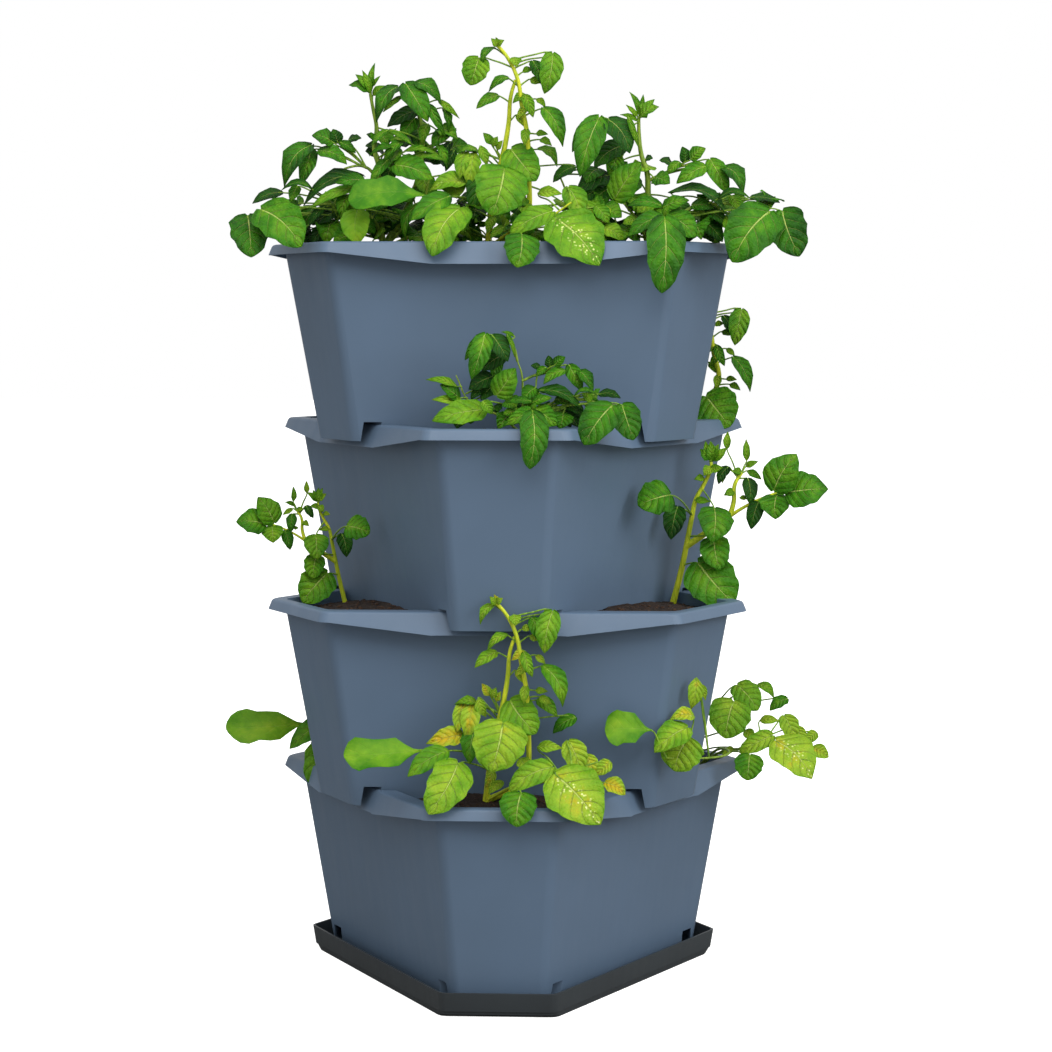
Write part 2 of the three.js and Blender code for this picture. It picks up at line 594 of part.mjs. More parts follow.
// A tapering stem along points, as joined straight lengths with a few flat sides.
function tube(points, count, firstRadius, lastRadius = firstRadius, grounded = false) {
  const last = points.length - 1;
  const sections = points.map((point, i) => {
    const before = vector(points[Math.max(i - 1, 0)]);
    const after = vector(points[Math.min(i + 1, last)]);
    const along = grounded && i === 0 ? new THREE.Vector3(0, 0, 1) : after.sub(before).normalize();
    const side = new THREE.Vector3(0, 1, 0).cross(along).normalize();
    const other = side.clone().cross(along);
    const radius = firstRadius + ((lastRadius - firstRadius) * i) / last;
    return Array.from({ length: count }, (unused, k) => {
      const [a, b] = direction((360 * k) / count);
      return vector(point).addScaledVector(side, a * radius).addScaledVector(other, b * radius).toArray();
    });
  });
  const faces = [];
  for (let k = 0; k < count; k += 1) {
    const next = (k + 1) % count;
    for (let row = 0; row < last * count; row += count) {
      faces.push([row + k, row + count + k, row + count + next], [row + k, row + count + next, row + next]);
    }
    if (k > 0 && next > 0) {
      faces.push([0, k, next], [last * count, last * count + next, last * count + k]);
    }
  }
  return solidFrom(sections.flat(), faces);
}

// A leaf: a blade that is thickest along its midrib, folded a little along it and bowed between foot and
// tip, with its stalk, which springs from the stem and runs to a point inside the blade's foot.
const wideRowShares = [{ along: 0.28, width: 0.5, bow: 0.1 }, { along: 0.7, width: 0.4, bow: 0.09 }];
const narrowRowShares = [{ along: 0.45, width: 0.45, bow: 0.1 }];
const foldShare = 0.12;
const leafTilt = 35; // of the way the blades face, up from level
const stalkEndShare = 0.55; // of the way from the foot to the first row
function leaf(spring, foot, tip, width, rows) {
  const start = vector(foot);
  const along = vector(tip).sub(start);
  const length = along.length();
  const facing = new THREE.Vector3(0, -Math.cos(leafTilt * degree), Math.sin(leafTilt * degree));
  const across = along.clone().cross(facing).normalize();
  const out = across.clone().cross(along).normalize();
  const at = (share, side, lift) => start.clone().addScaledVector(along, share)
    .addScaledVector(across, side).addScaledVector(out, lift).toArray();
  const points = [foot, tip];
  for (const row of rows) {
    const lift = row.bow * length;
    const edgeLift = lift + foldShare * width;
    points.push(
      at(row.along, row.width * width, edgeLift),
      at(row.along, 0, lift + half(plant.bladeThickness)),
      at(row.along, -row.width * width, edgeLift),
      at(row.along, 0, lift - half(plant.bladeThickness)),
    );
  }
  const faces = [];
  for (let k = 0; k < 4; k += 1) {
    const next = (k + 1) % 4;
    const last = points.length - 4;
    faces.push([0, 2 + k, 2 + next], [1, last + next, last + k]);
    if (rows.length > 1) faces.push([2 + k, 6 + k, 6 + next], [2 + k, 6 + next, 2 + next]);
  }
  const [first] = rows;
  const end = at(first.along * stalkEndShare, 0, first.bow * length * stalkEndShare);
  const endRadius = half(plant.bladeThickness) * half(stalkEndShare);
  const stalk = tube([spring, end], plant.petioleSides, plant.petioleRadius, endRadius);
  return [solidFrom(points, faces), stalk];
}

// The point of a stem at a height, and the part of a stem above a cut, if there is any.
function stemPoint(points, height) {
  const above = points.findIndex((point, i) => i > 0 && point[2] >= height);
  if (above < 0) return points.at(-1);
  const [low, high] = [points[above - 1], points[above]];
  const share = Math.min(Math.max((height - low[2]) / (high[2] - low[2]), 0), 1);
  return low.map((value, i) => value + (high[i] - value) * share);
}
function stemFrom(points, cut) {
  const above = points.findIndex((point) => point[2] > cut);
  if (above < 0) return [];
  return above === 0 ? points : [stemPoint(points, cut), ...points.slice(above)];
}

// One plant, at a place in its pot: x and y of its foot, a turn about it, a scale, a mirror of minus one
// for the left-hand copy, and a cut for one planted deeper. The pot has a turn of its own.
function makePlant({ kind, x, y, turn = 0, scale = 1, mirror = 1, cut = 0 }, potTurn) {
  const { stems, leaves } = kinds[kind];
  const [cos, sin] = direction(turn);
  const place = ([across, out, up]) => {
    const sideways = across * plant.spanWidth * scale * mirror;
    const forward = -out * plant.reachDepth * scale;
    return [
      x + sideways * cos - forward * sin,
      y + sideways * sin + forward * cos,
      pot.height + (up - cut) * plant.spanWidth * scale,
    ];
  };
  const placed = stems.map((points) => stemFrom(points, cut).map(place));
  // Every stem that comes out of the ground does so at the foot of the first.
  const [footX, footY] = placed[0][0];
  const [potCos, potSin] = direction(-potTurn);
  const footZ = soilHeight(footX * potCos - footY * potSin, footX * potSin + footY * potCos) + 2 * gap;
  const ground = [footX, footY, footZ];
  const isGrounded = stems.map(([first]) => first[2] < Math.max(cut, plant.groundShare));
  const shown = placed.map((points, i) => (isGrounded[i] ? [ground, ...points.slice(1)] : points));
  const pieces = shown.flatMap((points, i) => (placed[i].length > 0
    ? [tube(points, plant.stemSides, plant.stemRadius, plant.tipRadius, isGrounded[i])]
    : []));
  for (const [stem, at, fx, fo, fu, tx, to, tu, width] of leaves) {
    if (width >= plant.smallestShare && at > cut && placed[stem].length > 0) {
      const [, , height] = place([0, 0, at]);
      const spring = stemPoint(shown[stem], height);
      const rows = width >= plant.wideShare ? wideRowShares : narrowRowShares;
      const bladeWidth = width * plant.spanWidth * scale;
      pieces.push(...leaf(spring, place([fx, fo, fu]), place([tx, to, tu]), bladeWidth, rows));
    }
  }
  return joined(pieces);
}

// Colours and finish.
const finish = (color, roughness) => new THREE.MeshStandardMaterial({ color, roughness, metalness: 0 });
const slatePlastic = finish('#52667a', 0.55);
const blackPlastic = finish('#2c3134', 0.6);
const earth = finish('#37251b', 0.95);
const foliage = finish('#4f8f2e', 0.6);

function piece(name, solid, material) {
  const mesh = new THREE.Mesh(geometryOf(solid), material);
  mesh.name = name;
  return mesh;
}

// Where the plants stand. In a corner: by the angle of its short side, the share of the way out to it
// from the long sides of the pot above, and along it in shares of half such a side. At the front: across in
// shares of the pot's size, and back from just outside the rim by the plant's reach.
const viewTurn = 3;
const toShortSide = -(rimTop.short + rim.flare * rim.cornerDepth + plant.rimClearance);
const toLongSide = -(skirtLong + plant.rimClearance);
function stand(angle, outShare, alongShare) {
  const [nx, ny] = direction(angle);
  const out = pot.baseLong + (pot.topShort - pot.baseLong) * outShare;
  const along = halfLongSide(pot.topLong, pot.topShort) * alongShare;
  return { x: out * nx - along * ny, y: out * ny + along * nx };
}
const front = (acrossShare, face, scale) => ({
  x: acrossShare * pot.topShort,
  y: face + scale * plant.reachDepth,
});
const plants = {
  tier_1: {
    plant_1_front: { kind: 'tall', ...front(-0.045, toShortSide, 1), turn: viewTurn },
    plant_1_left_back: { kind: 'left', ...stand(150, 0.608, 0.0618), turn: viewTurn, scale: 1.1 },
    plant_1_right_back: { kind: 'corner', ...stand(30, 0.713, -0.2973), turn: viewTurn, scale: 0.85 },
  },
  tier_2: {
    plant_2_left: { kind: 'slender', ...stand(210, 0.272, -0.3225), turn: viewTurn, scale: 0.8, mirror: -1 },
    plant_2_right: { kind: 'slender', ...stand(-30, 0.142, 0.4652), turn: viewTurn, scale: 1.06 },
    plant_2_back: { kind: 'slender', ...stand(90, 0.584, 0), turn: 180, scale: 0.8 },
  },
  tier_3: {
    plant_3_front: { kind: 'cushion', ...front(0.11, toShortSide, 0.73), turn: viewTurn, scale: 0.73 },
    plant_3_left_back: { kind: 'low', ...stand(150, 0.66, 0.0066), turn: 240, scale: 0.7 },
    plant_3_right_back: {
      kind: 'crown', ...stand(30, 0.604, -0.1382), turn: viewTurn, scale: 0.94, cut: 0.23,
    },
  },
  tier_4: {
    plant_4_left: { kind: 'high', ...front(-0.5, toLongSide, 1), turn: viewTurn, mirror: -1 },
    plant_4_centre: { kind: 'topmost', ...front(-0.065, toLongSide, 1), turn: viewTurn },
    plant_4_right: { kind: 'bushy', ...front(0.63, toLongSide, 1), turn: viewTurn },
  },
};

// The tower: the saucer on the floor, then each pot turned half round to the one below.
const tower = new THREE.Group();
tower.add(piece('saucer', makeSaucer(), blackPlastic));
const potSolid = makePot();
const coveredSoil = makeSoil(true);
const openSoil = makeSoil(false);
const firstBase = saucer.floor + saucer.ribHeight + gap;
Object.entries(plants).forEach(([tierName, planted], i, all) => {
  const tier = new THREE.Group();
  tier.position.z = firstBase + i * (pot.height - nest.depth);
  const turn = i % 2 === 0 ? 0 : 180;
  const turned = (solid) => solid.rotate([0, 0, turn]);
  tier.add(piece(`pot_${i + 1}`, turned(potSolid), slatePlastic));
  tier.add(piece(`soil_${i + 1}`, turned(i < all.length - 1 ? coveredSoil : openSoil), earth));
  Object.entries(planted).forEach(([name, values]) => {
    tier.add(piece(name, makePlant(values, turn), foliage));
  });
  tier.name = tierName;
  tower.add(tier);
});

export default tower;
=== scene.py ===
import math
import random

import bpy
from mathutils import Euler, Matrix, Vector, noise


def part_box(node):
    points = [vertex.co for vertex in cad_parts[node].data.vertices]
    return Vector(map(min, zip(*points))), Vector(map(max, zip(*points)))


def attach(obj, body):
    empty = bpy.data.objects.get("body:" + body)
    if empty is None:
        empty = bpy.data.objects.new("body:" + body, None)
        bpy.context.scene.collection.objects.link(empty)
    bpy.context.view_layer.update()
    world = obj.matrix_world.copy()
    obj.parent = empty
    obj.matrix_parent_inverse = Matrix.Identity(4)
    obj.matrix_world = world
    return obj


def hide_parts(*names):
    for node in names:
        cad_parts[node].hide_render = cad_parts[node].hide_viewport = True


print("loading the planter tower")
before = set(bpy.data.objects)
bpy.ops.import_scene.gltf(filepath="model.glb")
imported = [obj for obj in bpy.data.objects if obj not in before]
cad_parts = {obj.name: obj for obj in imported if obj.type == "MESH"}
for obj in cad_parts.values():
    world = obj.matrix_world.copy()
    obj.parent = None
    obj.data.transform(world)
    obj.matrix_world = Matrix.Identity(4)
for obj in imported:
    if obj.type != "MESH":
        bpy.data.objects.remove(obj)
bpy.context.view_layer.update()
mm = 0.001


# sRGB hex to the linear colour that Blender works in
def linearColour(hexText):
    parts = [int(hexText[i:i + 2], 16) / 255 for i in (1, 3, 5)]
    return [c / 12.92 if c <= 0.04045 else ((c + 0.055) / 1.055) ** 2.4 for c in parts] + [1]


def setAll(item, **settings):
    for name, value in settings.items():
        setattr(item, name, value)


# adds one node and gives one of its outputs; links fill its inputs with values or other nodes' outputs
def addNode(material, kind, links=None, output=0, **settings):
    tree = material.node_tree
    node = tree.nodes.new("ShaderNode" + kind)
    setAll(node, **settings)
    for name, value in (links or {}).items():
        if isinstance(value, bpy.types.NodeSocket):
            tree.links.new(value, node.inputs[name])
        else:
            node.inputs[name].default_value = value
    return node.outputs[output] if node.outputs else None


def newMaterial(name):
    material = bpy.data.materials.new(name)
    material.use_nodes = True
    material.node_tree.nodes.clear()
    return material


# the end of every piece's material: relief from a height, and the shader that shows it
def finishSurface(material, relief, surface):
    bump = addNode(material, "Bump", relief)
    shader = addNode(material, "BsdfPrincipled", surface | {"Normal": bump})
    addNode(material, "OutputMaterial", {"Surface": shader})
    return material


def colourStops(base, stops):
    ramp = base.node.color_ramp
    while len(ramp.elements) < len(stops):
        ramp.elements.new(0.5)
    for element, (place, colour) in zip(ramp.elements, stops):
        element.position = place
        element.color = linearColour(colour)


def showOnly(*objects):
    bpy.ops.object.select_all(action="DESELECT")
    for item in objects:
        item.select_set(True)
    bpy.context.view_layer.objects.active = objects[0]


# a copy of a piece, with its own mesh
def copyOf(original):
    piece = original.copy()
    piece.data = original.data.copy()
    bpy.context.scene.collection.objects.link(piece)
    return piece


# one edit mode operator on the whole mesh of a piece
def editWhole(piece, operator, **settings):
    showOnly(piece)
    bpy.ops.object.mode_set(mode="EDIT")
    bpy.ops.mesh.select_all(action="SELECT")
    operator(**settings)
    bpy.ops.object.mode_set(mode="OBJECT")


# gives the active piece a modifier and applies it
def applyModifier(piece, kind, **settings):
    modifier = piece.modifiers.new(kind, kind)
    setAll(modifier, **settings)
    bpy.ops.object.modifier_apply(modifier=modifier.name)


# The camera stands at the photograph's place, level, a little right of the tower
camera = {
    "place": (0.1467, -2.8148, 0.7014), "turn": 2.62,
    "optics": {"lens": 88.41, "sensor_width": 36, "shift_y": -0.195, "clip_end": 50},
}
facing = (math.radians(90), 0, math.radians(camera["turn"]))
bpy.ops.object.camera_add(location=camera["place"], rotation=facing)
cameraObject = bpy.context.object
setAll(cameraObject.data, **camera["optics"])
bpy.context.scene.camera = cameraObject
bpy.context.scene.view_settings.view_transform = "Standard"


print("materials")
potFinish = {
    "colour": "#5c7189", "cloud": "#586c82", "grainSize": 0.9 * mm, "grainDepth": 0.05, "roughness": 0.48,
}


# Moulded polypropylene: satin, coloured right through, with a faint spark-eroded grain and slow clouds
def makePlastic(name, finish):
    material = newMaterial(name)
    place = addNode(material, "TexCoord", output="Object")
    cloud = addNode(material, "TexNoise", {"Vector": place, "Scale": 7, "Detail": 3, "Roughness": 0.55})
    base = addNode(material, "ValToRGB", {"Fac": cloud})
    colourStops(base, [(0.3, finish["cloud"]), (0.72, finish["colour"])])
    stretch = addNode(material, "Mapping", {"Vector": place, "Scale": (1, 1, 0.12)})
    flow = addNode(material, "TexNoise", {"Vector": stretch, "Scale": 45, "Detail": 4, "Roughness": 0.6})
    gloss = addNode(material, "MapRange", {
        "Value": flow, "From Min": 0.3, "From Max": 0.7,
        "To Min": finish["roughness"] - 0.05, "To Max": finish["roughness"] + 0.07,
    })
    grain = addNode(material, "TexNoise", {"Vector": place, "Scale": 1 / finish["grainSize"], "Detail": 2})
    relief = {"Height": grain, "Strength": finish["grainDepth"], "Distance": 0.4 * mm}
    return finishSurface(material, relief, {"Base Color": base, "Roughness": gloss, "IOR": 1.49})


slatePlastic = makePlastic("mouldedPolypropyleneSlate", potFinish)
blackPlastic = makePlastic("mouldedPolypropyleneAnthracite", {
    "colour": "#343a3e", "cloud": "#2b3033", "grainSize": 0.9 * mm, "grainDepth": 0.08, "roughness": 0.5,
})

soilFinish = {
    "dark": "#1c120c", "brown": "#3a2619", "pale": "#6b5443", "clodSize": 6 * mm, "gritSize": 1.3 * mm,
}


# Potting compost: damp peat and bark, so nearly black in its hollows, with a few pale woody specks
def makeSoilMaterial(name, finish):
    material = newMaterial(name)
    place = addNode(material, "TexCoord", output="Object")
    clods = addNode(material, "TexNoise", {
        "Vector": place, "Scale": 1 / finish["clodSize"], "Detail": 6, "Roughness": 0.7,
    })
    specks = addNode(material, "TexVoronoi", {"Vector": place, "Scale": 1 / (4 * finish["gritSize"])})
    base = addNode(material, "ValToRGB", {"Fac": clods})
    colourStops(base, [(0.35, finish["dark"]), (0.68, finish["brown"])])
    isSpeck = addNode(material, "MapRange", {
        "Value": specks, "From Min": 0.1, "From Max": 0.16, "To Min": 0.8, "To Max": 0,
    })
    mixed = addNode(material, "Mix", {
        "Factor": isSpeck, 6: base, 7: linearColour(finish["pale"]),
    }, output=2, data_type="RGBA")
    grit = addNode(material, "TexNoise", {
        "Vector": place, "Scale": 1 / finish["gritSize"], "Detail": 4, "Roughness": 0.75,
    })
    relief = {"Height": grit, "Strength": 0.9, "Distance": 1.5 * mm}
    return finishSurface(material, relief, {"Base Color": mixed, "Roughness": 0.92})


compost = makeSoilMaterial("pottingCompost", soilFinish)
barkFinish = soilFinish | {"dark": "#2e1d12", "brown": "#5a3f2b", "pale": "#8a6d53"}
bark = makeSoilMaterial("compostedBark", barkFinish)

leafFinish = {
    "tones": [
        (0, "#0c2a08"), (0.25, "#1f520c"), (0.45, "#3c7a0e"), (0.65, "#6c9c1c"), (0.85, "#97b52c"),
        (1, "#c6a61c"),
    ],
    "vein": "#cfe07c", "speck": "#dde890", "sideVeins": 5, "slant": 2.6, "bend": 1.4, "cellSize": 2.6 * mm,
    "roughness": 0.5, "shine": 0.18,
}


# Potato leaf: a thin waxy blade, slightly see-through, with a pale tapering midrib and side veins that
# bend towards the tip, and puffed up between them. The map runs across the blade in X and from foot to tip
# in Y. Each leaf has a tone from dark to yellowed, the strength of its veins and of its pale specks.
def makeLeafMaterial(finish):
    material = newMaterial("potatoLeaf")
    place = addNode(material, "TexCoord", output="Object")
    across = addNode(material, "SeparateXYZ", {"Vector": place.node.outputs["UV"]})
    mottle = addNode(material, "TexNoise", {"Vector": place, "Scale": 45, "Detail": 4, "Roughness": 0.6})
    spots = addNode(material, "TexVoronoi", {"Vector": place, "Scale": 260})
    cells = addNode(material, "TexVoronoi", {
        "Vector": place, "Scale": 1 / finish["cellSize"], "Smoothness": 0.6,
    }, feature="SMOOTH_F1")
    known = {
        "across": across, "toTip": across.node.outputs["Y"], "mottle": mottle, "spots": spots, "cells": cells,
    }
    for name in ("tone", "veined", "specks"):
        known[name] = addNode(material, "Attribute", output="Fac", attribute_name=name)
    # Each row is a result, a sum and what goes into it; "range" carries a value over from the range of its
    # first two numbers to that of its last two
    for name, task, *inputs in [
        ("fromMiddle", "SUBTRACT", "across", 0.5),
        ("fromRib", "ABSOLUTE", "fromMiddle"),
        ("squared", "POWER", "fromRib", 2),
        ("bent", "MULTIPLY", "squared", finish["bend"]),
        ("slanted", "MULTIPLY", "fromRib", finish["slant"]),
        ("lean", "ADD", "slanted", "bent"),
        ("upBlade", "MULTIPLY", "toTip", finish["sideVeins"]),
        ("order", "SUBTRACT", "upBlade", "lean"),
        ("toVein", "PINGPONG", "order", 0.5),
        ("fading", "range", "fromRib", 0.12, 0.44, 1, 0.1),
        ("veinLine", "range", "toVein", 0.008, 0.055, 0.8, 0),
        ("sideVein", "MULTIPLY", "veinLine", "fading"),
        ("ribWidth", "range", "toTip", 0, 1, 0.034, 0.006),
        ("inRib", "DIVIDE", "fromRib", "ribWidth"),
        ("midrib", "range", "inRib", 0.45, 1, 1, 0),
        ("stronger", "MAXIMUM", "sideVein", "midrib"),
        ("veins", "MULTIPLY", "stronger", "veined"),
        ("veinColour", "MULTIPLY", "veins", 0.55),
        ("patches", "range", "mottle", 0.3, 0.7, -0.13, 0.13),
        ("patched", "ADD", "tone", "patches"),
        ("towardsEdge", "range", "fromRib", 0.1, 0.5, 0.05, -0.07),
        ("shade", "ADD", "patched", "towardsEdge"),
        ("nearRib", "range", "fromRib", 0.08, 0.24, 1, 0),
        ("spotted", "range", "spots", 0.22, 0.34, 1, 0),
        ("ribSpots", "MULTIPLY", "spotted", "nearRib"),
        ("speckle", "MULTIPLY", "ribSpots", "specks"),
        ("rounded", "POWER", "toVein", 0.6),
        ("puffed", "MULTIPLY", "rounded", 1.3),
        ("hollows", "MULTIPLY", "cells", -0.55),
        ("crinkles", "ADD", "puffed", "hollows"),
        ("quilt", "MULTIPLY", "crinkles", "veined"),
        ("raised", "SUBTRACT", "quilt", "veins"),
    ]:
        links = {i: known.get(value, value) for i, value in enumerate(inputs)}
        if task == "range":
            known[name] = addNode(material, "MapRange", links)
        else:
            known[name] = addNode(material, "Math", links, operation=task)
    green = addNode(material, "ValToRGB", {"Fac": known["shade"]})
    colourStops(green, finish["tones"])
    withSpecks = addNode(material, "Mix", {
        "Factor": known["speckle"], 6: green, 7: linearColour(finish["speck"]),
    }, output=2, data_type="RGBA")
    blade = addNode(material, "Mix", {
        "Factor": known["veinColour"], 6: withSpecks, 7: linearColour(finish["vein"]),
    }, output=2, data_type="RGBA")
    relief = {"Height": known["raised"], "Strength": 1, "Distance": 1.5 * mm}
    return finishSurface(material, relief, {
        "Base Color": blade, "Roughness": finish["roughness"], "IOR": 1.42,
        "Specular IOR Level": finish["shine"], "Subsurface Weight": 0.2,
        "Subsurface Radius": (0.5, 1, 0.15), "Subsurface Scale": 1.2 * mm,
    })


potatoLeaf = makeLeafMaterial(leafFinish)


# Fresh stem: smooth, juicy and slightly ribbed, paler than the leaves; the tallest stems are nearly yellow
def makeStemMaterial(name, finish):
    material = newMaterial(name)
    place = addNode(material, "TexCoord", output="Object")
    ribs = addNode(material, "Mapping", {"Vector": place, "Scale": (1, 1, 0.08)})
    streaks = addNode(material, "TexNoise", {"Vector": ribs, "Scale": 400, "Detail": 2})
    base = addNode(material, "ValToRGB", {"Fac": streaks})
    colourStops(base, [(0.35, finish["shade"]), (0.65, finish["colour"])])
    relief = {"Height": streaks, "Strength": 0.3, "Distance": 0.4 * mm}
    return finishSurface(material, relief, {"Base Color": base, "Roughness": 0.5, "Specular IOR Level": 0.3})


stemMaterials = {
    "bright": makeStemMaterial("potatoStemBright", {"colour": "#dde436", "shade": "#adc42a"}),
    "green": makeStemMaterial("potatoStemGreen", {"colour": "#93ad38", "shade": "#5f8424"}),
}
leafStalk = makeStemMaterial("potatoLeafStalk", {"colour": "#8db234", "shade": "#557e20"})


# A copy of a CAD piece, its corners merged, so that edges can be rounded and shading can run smoothly
def copyOfNode(node, name):
    piece = copyOf(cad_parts[node])
    piece.name = name
    showOnly(piece)
    bpy.ops.mesh.customdata_custom_splitnormals_clear()
    editWhole(piece, bpy.ops.mesh.remove_doubles, threshold=0.01 * mm)
    return piece


def dress(piece, body, node, material=None):
    if material:
        piece.data.materials.clear()
        piece.data.materials.append(material)
    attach(piece, body)
    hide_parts(node)


print("saucer and pots")
# edges sharper than "sharpest" are rounded, flat faces are joined first; angles in degrees
plasticEdge = {"round": 0.7 * mm, "steps": 2, "sharpest": 40, "flat": 0.3, "smooth": 45}


def roundEdges(piece, edge):
    editWhole(piece, bpy.ops.mesh.dissolve_limited, angle_limit=math.radians(edge["flat"]))
    applyModifier(
        piece, "BEVEL", width=edge["round"], segments=edge["steps"], limit_method="ANGLE",
        angle_limit=math.radians(edge["sharpest"]), harden_normals=False,
    )
    bpy.ops.object.shade_smooth_by_angle(angle=math.radians(edge["smooth"]))
    applyModifier(piece, "WEIGHTED_NORMAL", keep_sharp=True)


topTier = 4
saucerPiece = copyOfNode("saucer", "dripSaucer")
roundEdges(saucerPiece, plasticEdge)
dress(saucerPiece, "base", "saucer", blackPlastic)
for tier in range(1, topTier + 1):
    potPiece = copyOfNode(f"pot_{tier}", f"stackingPot{tier}")
    roundEdges(potPiece, plasticEdge)
    dress(potPiece, f"tier_{tier}", f"pot_{tier}", slatePlastic)


print("soil")
soil = {
    "cuts": 26, "lumps": 2.2 * mm, "lumpSize": 9 * mm, "rough": 0.8, "finer": 2, "octaves": 3,
    "deepest": -0.15, "upward": 0.8, "topFace": 20 * mm * mm, "smooth": 50,
    "long": 167.5 * mm, "short": 235.9 * mm, "crown": 7 * mm, "edgeDepth": 12 * mm,
    "potLong": 143 * mm, "potShort": 206 * mm, "clear": 8 * mm, "crumbs": 240, "spread": 220 * mm,
    "smallest": 0.9 * mm, "largest": 2.4 * mm, "stretch": 1.9, "flat": 0.7, "risen": 0.3,
}
sideAngles = [-90, -30, 30, 90, 150, 210]


# How far out a place is in a pot's plan, 0 in the middle and 1 on a line with these half widths from the
# middle to the long and to the short sides; every second pot is turned half round
def reachOf(x, y, tier, toLong, toShort):
    turned = 1 if tier % 2 else -1
    reach = 0
    for side, angle in enumerate(sideAngles):
        out = turned * (x * math.cos(math.radians(angle)) + y * math.sin(math.radians(angle)))
        reach = max(reach, out / (toLong if side % 2 else toShort))
    return reach


# height of the soil over the top of the rim: a low crown that falls away to the walls
def soilHeight(x, y, tier):
    reach = reachOf(x, y, tier, soil["long"], soil["short"])
    return soil["crown"] - (soil["crown"] + soil["edgeDepth"]) * reach


# the top of the soil is cut fine and heaved into lumps; its sides stay as they are
def makeSoil(tier):
    piece = copyOfNode(f"soil_{tier}", f"compost{tier}")
    mesh = piece.data
    bpy.ops.object.mode_set(mode="EDIT")
    bpy.ops.mesh.select_mode(type="FACE")
    bpy.ops.mesh.select_all(action="DESELECT")
    bpy.ops.object.mode_set(mode="OBJECT")
    for face in mesh.polygons:
        face.select = face.normal.z > soil["upward"] and face.area > soil["topFace"]
    bpy.ops.object.mode_set(mode="EDIT")
    bpy.ops.mesh.subdivide(number_cuts=soil["cuts"], quadcorner="INNERVERT")
    bpy.ops.object.mode_set(mode="OBJECT")
    topFaces = [face for face in mesh.polygons if face.normal.z > soil["upward"]]
    for corner in {corner for face in topFaces for corner in face.vertices}:
        point = mesh.vertices[corner].co
        lump = noise.fractal(point / soil["lumpSize"], soil["rough"], soil["finer"], soil["octaves"])
        point.z += soil["lumps"] * max(lump, soil["deepest"])
    showOnly(piece)
    bpy.ops.object.shade_smooth_by_angle(angle=math.radians(soil["smooth"]))
    return piece


# crumbs of bark and clods, half sunk in the open soil, clear of the walls and of the pot on top
def scatterCrumbs(tier):
    chance = random.Random(tier)
    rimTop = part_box(f"pot_{tier}")[1][2]
    spread = soil["spread"]
    crumbs = []
    while len(crumbs) < soil["crumbs"]:
        x, y = chance.uniform(-spread, spread), chance.uniform(-spread, spread)
        atWall = reachOf(x, y, tier, soil["long"] - soil["clear"], soil["short"] - soil["clear"]) > 1
        outside = reachOf(x, y, tier + 1, soil["potLong"] + soil["clear"], soil["potShort"] + soil["clear"])
        if atWall or (tier < topTier and outside < 1):
            continue
        crumb = copyOf(blankCrumb)
        size = chance.uniform(soil["smallest"], soil["largest"])
        turn = chance.uniform(0, math.pi)
        stretch = chance.uniform(1, soil["stretch"])
        centre = Vector((x, y, rimTop + soilHeight(x, y, tier) + soil["risen"] * size))
        for corner in crumb.data.vertices:
            along, across = corner.co.x * size * stretch, corner.co.y * size
            corner.co = centre + Vector((
                along * math.cos(turn) - across * math.sin(turn),
                along * math.sin(turn) + across * math.cos(turn),
                corner.co.z * size * soil["flat"],
            ))
        crumbs.append(crumb)
    showOnly(*crumbs)
    bpy.ops.object.join()
    bpy.context.object.name = f"crumbs{tier}"
    return bpy.context.object


bpy.ops.mesh.primitive_ico_sphere_add(subdivisions=1, radius=1)
blankCrumb = bpy.context.object
for tier in range(1, topTier + 1):
    dress(makeSoil(tier), f"tier_{tier}", f"soil_{tier}", compost)
    dress(scatterCrumbs(tier), f"tier_{tier}", f"soil_{tier}", bark)
bpy.data.objects.remove(blankCrumb)


print("leaf blades")
# Outline of each kind of blade: half width by share of length from the foot, in shares of the widest
outlines = {
    "round": [
        (0, 0.12), (0.02, 0.42), (0.06, 0.66), (0.13, 0.85), (0.23, 0.97), (0.35, 1), (0.48, 0.98),
        (0.61, 0.91), (0.73, 0.79), (0.83, 0.64), (0.91, 0.45), (0.96, 0.27), (0.985, 0.13), (1, 0.03),
    ],
    "broad": [
        (0, 0.1), (0.03, 0.42), (0.09, 0.7), (0.17, 0.88), (0.28, 0.98), (0.38, 1), (0.5, 0.96),
        (0.62, 0.86), (0.73, 0.71), (0.83, 0.52), (0.91, 0.32), (0.96, 0.17), (1, 0.02),
    ],
    "pointed": [
        (0, 0.08), (0.04, 0.36), (0.11, 0.66), (0.2, 0.87), (0.3, 0.98), (0.4, 1), (0.52, 0.93),
        (0.64, 0.78), (0.76, 0.57), (0.86, 0.35), (0.94, 0.15), (1, 0.02),
    ],
    "slim": [
        (0, 0.08), (0.1, 0.5), (0.22, 0.84), (0.36, 1), (0.55, 0.94), (0.72, 0.7), (0.87, 0.35), (1, 0.03),
    ],
    "paddle": [
        (0, 0.06), (0.1, 0.1), (0.2, 0.26), (0.28, 0.56), (0.36, 0.82), (0.46, 0.92), (0.6, 0.9),
        (0.74, 0.96), (0.85, 0.98), (0.92, 0.84), (0.97, 0.56), (1, 0.1),
    ],
}


def outlineAt(kind, share):
    points = outlines[kind]
    for (a, wa), (b, wb) in zip(points, points[1:]):
        if share <= b:
            return wa + (wb - wa) * (share - a) / (b - a)
    return points[-1][1]


# A flat blade one unit long and two wide, to be bent and set in place; X across, Y from foot to tip. Its
# rows are closer together near both ends, where the outline turns fastest.
def makeBlank(name, across, along):
    bpy.ops.mesh.primitive_grid_add(x_subdivisions=across, y_subdivisions=along, size=2)
    blank = bpy.context.object
    blank.name = name
    for corner in blank.data.vertices:
        corner.co.y = (1 - math.cos(math.pi * (corner.co.y + 1) / 2)) / 2
    return blank


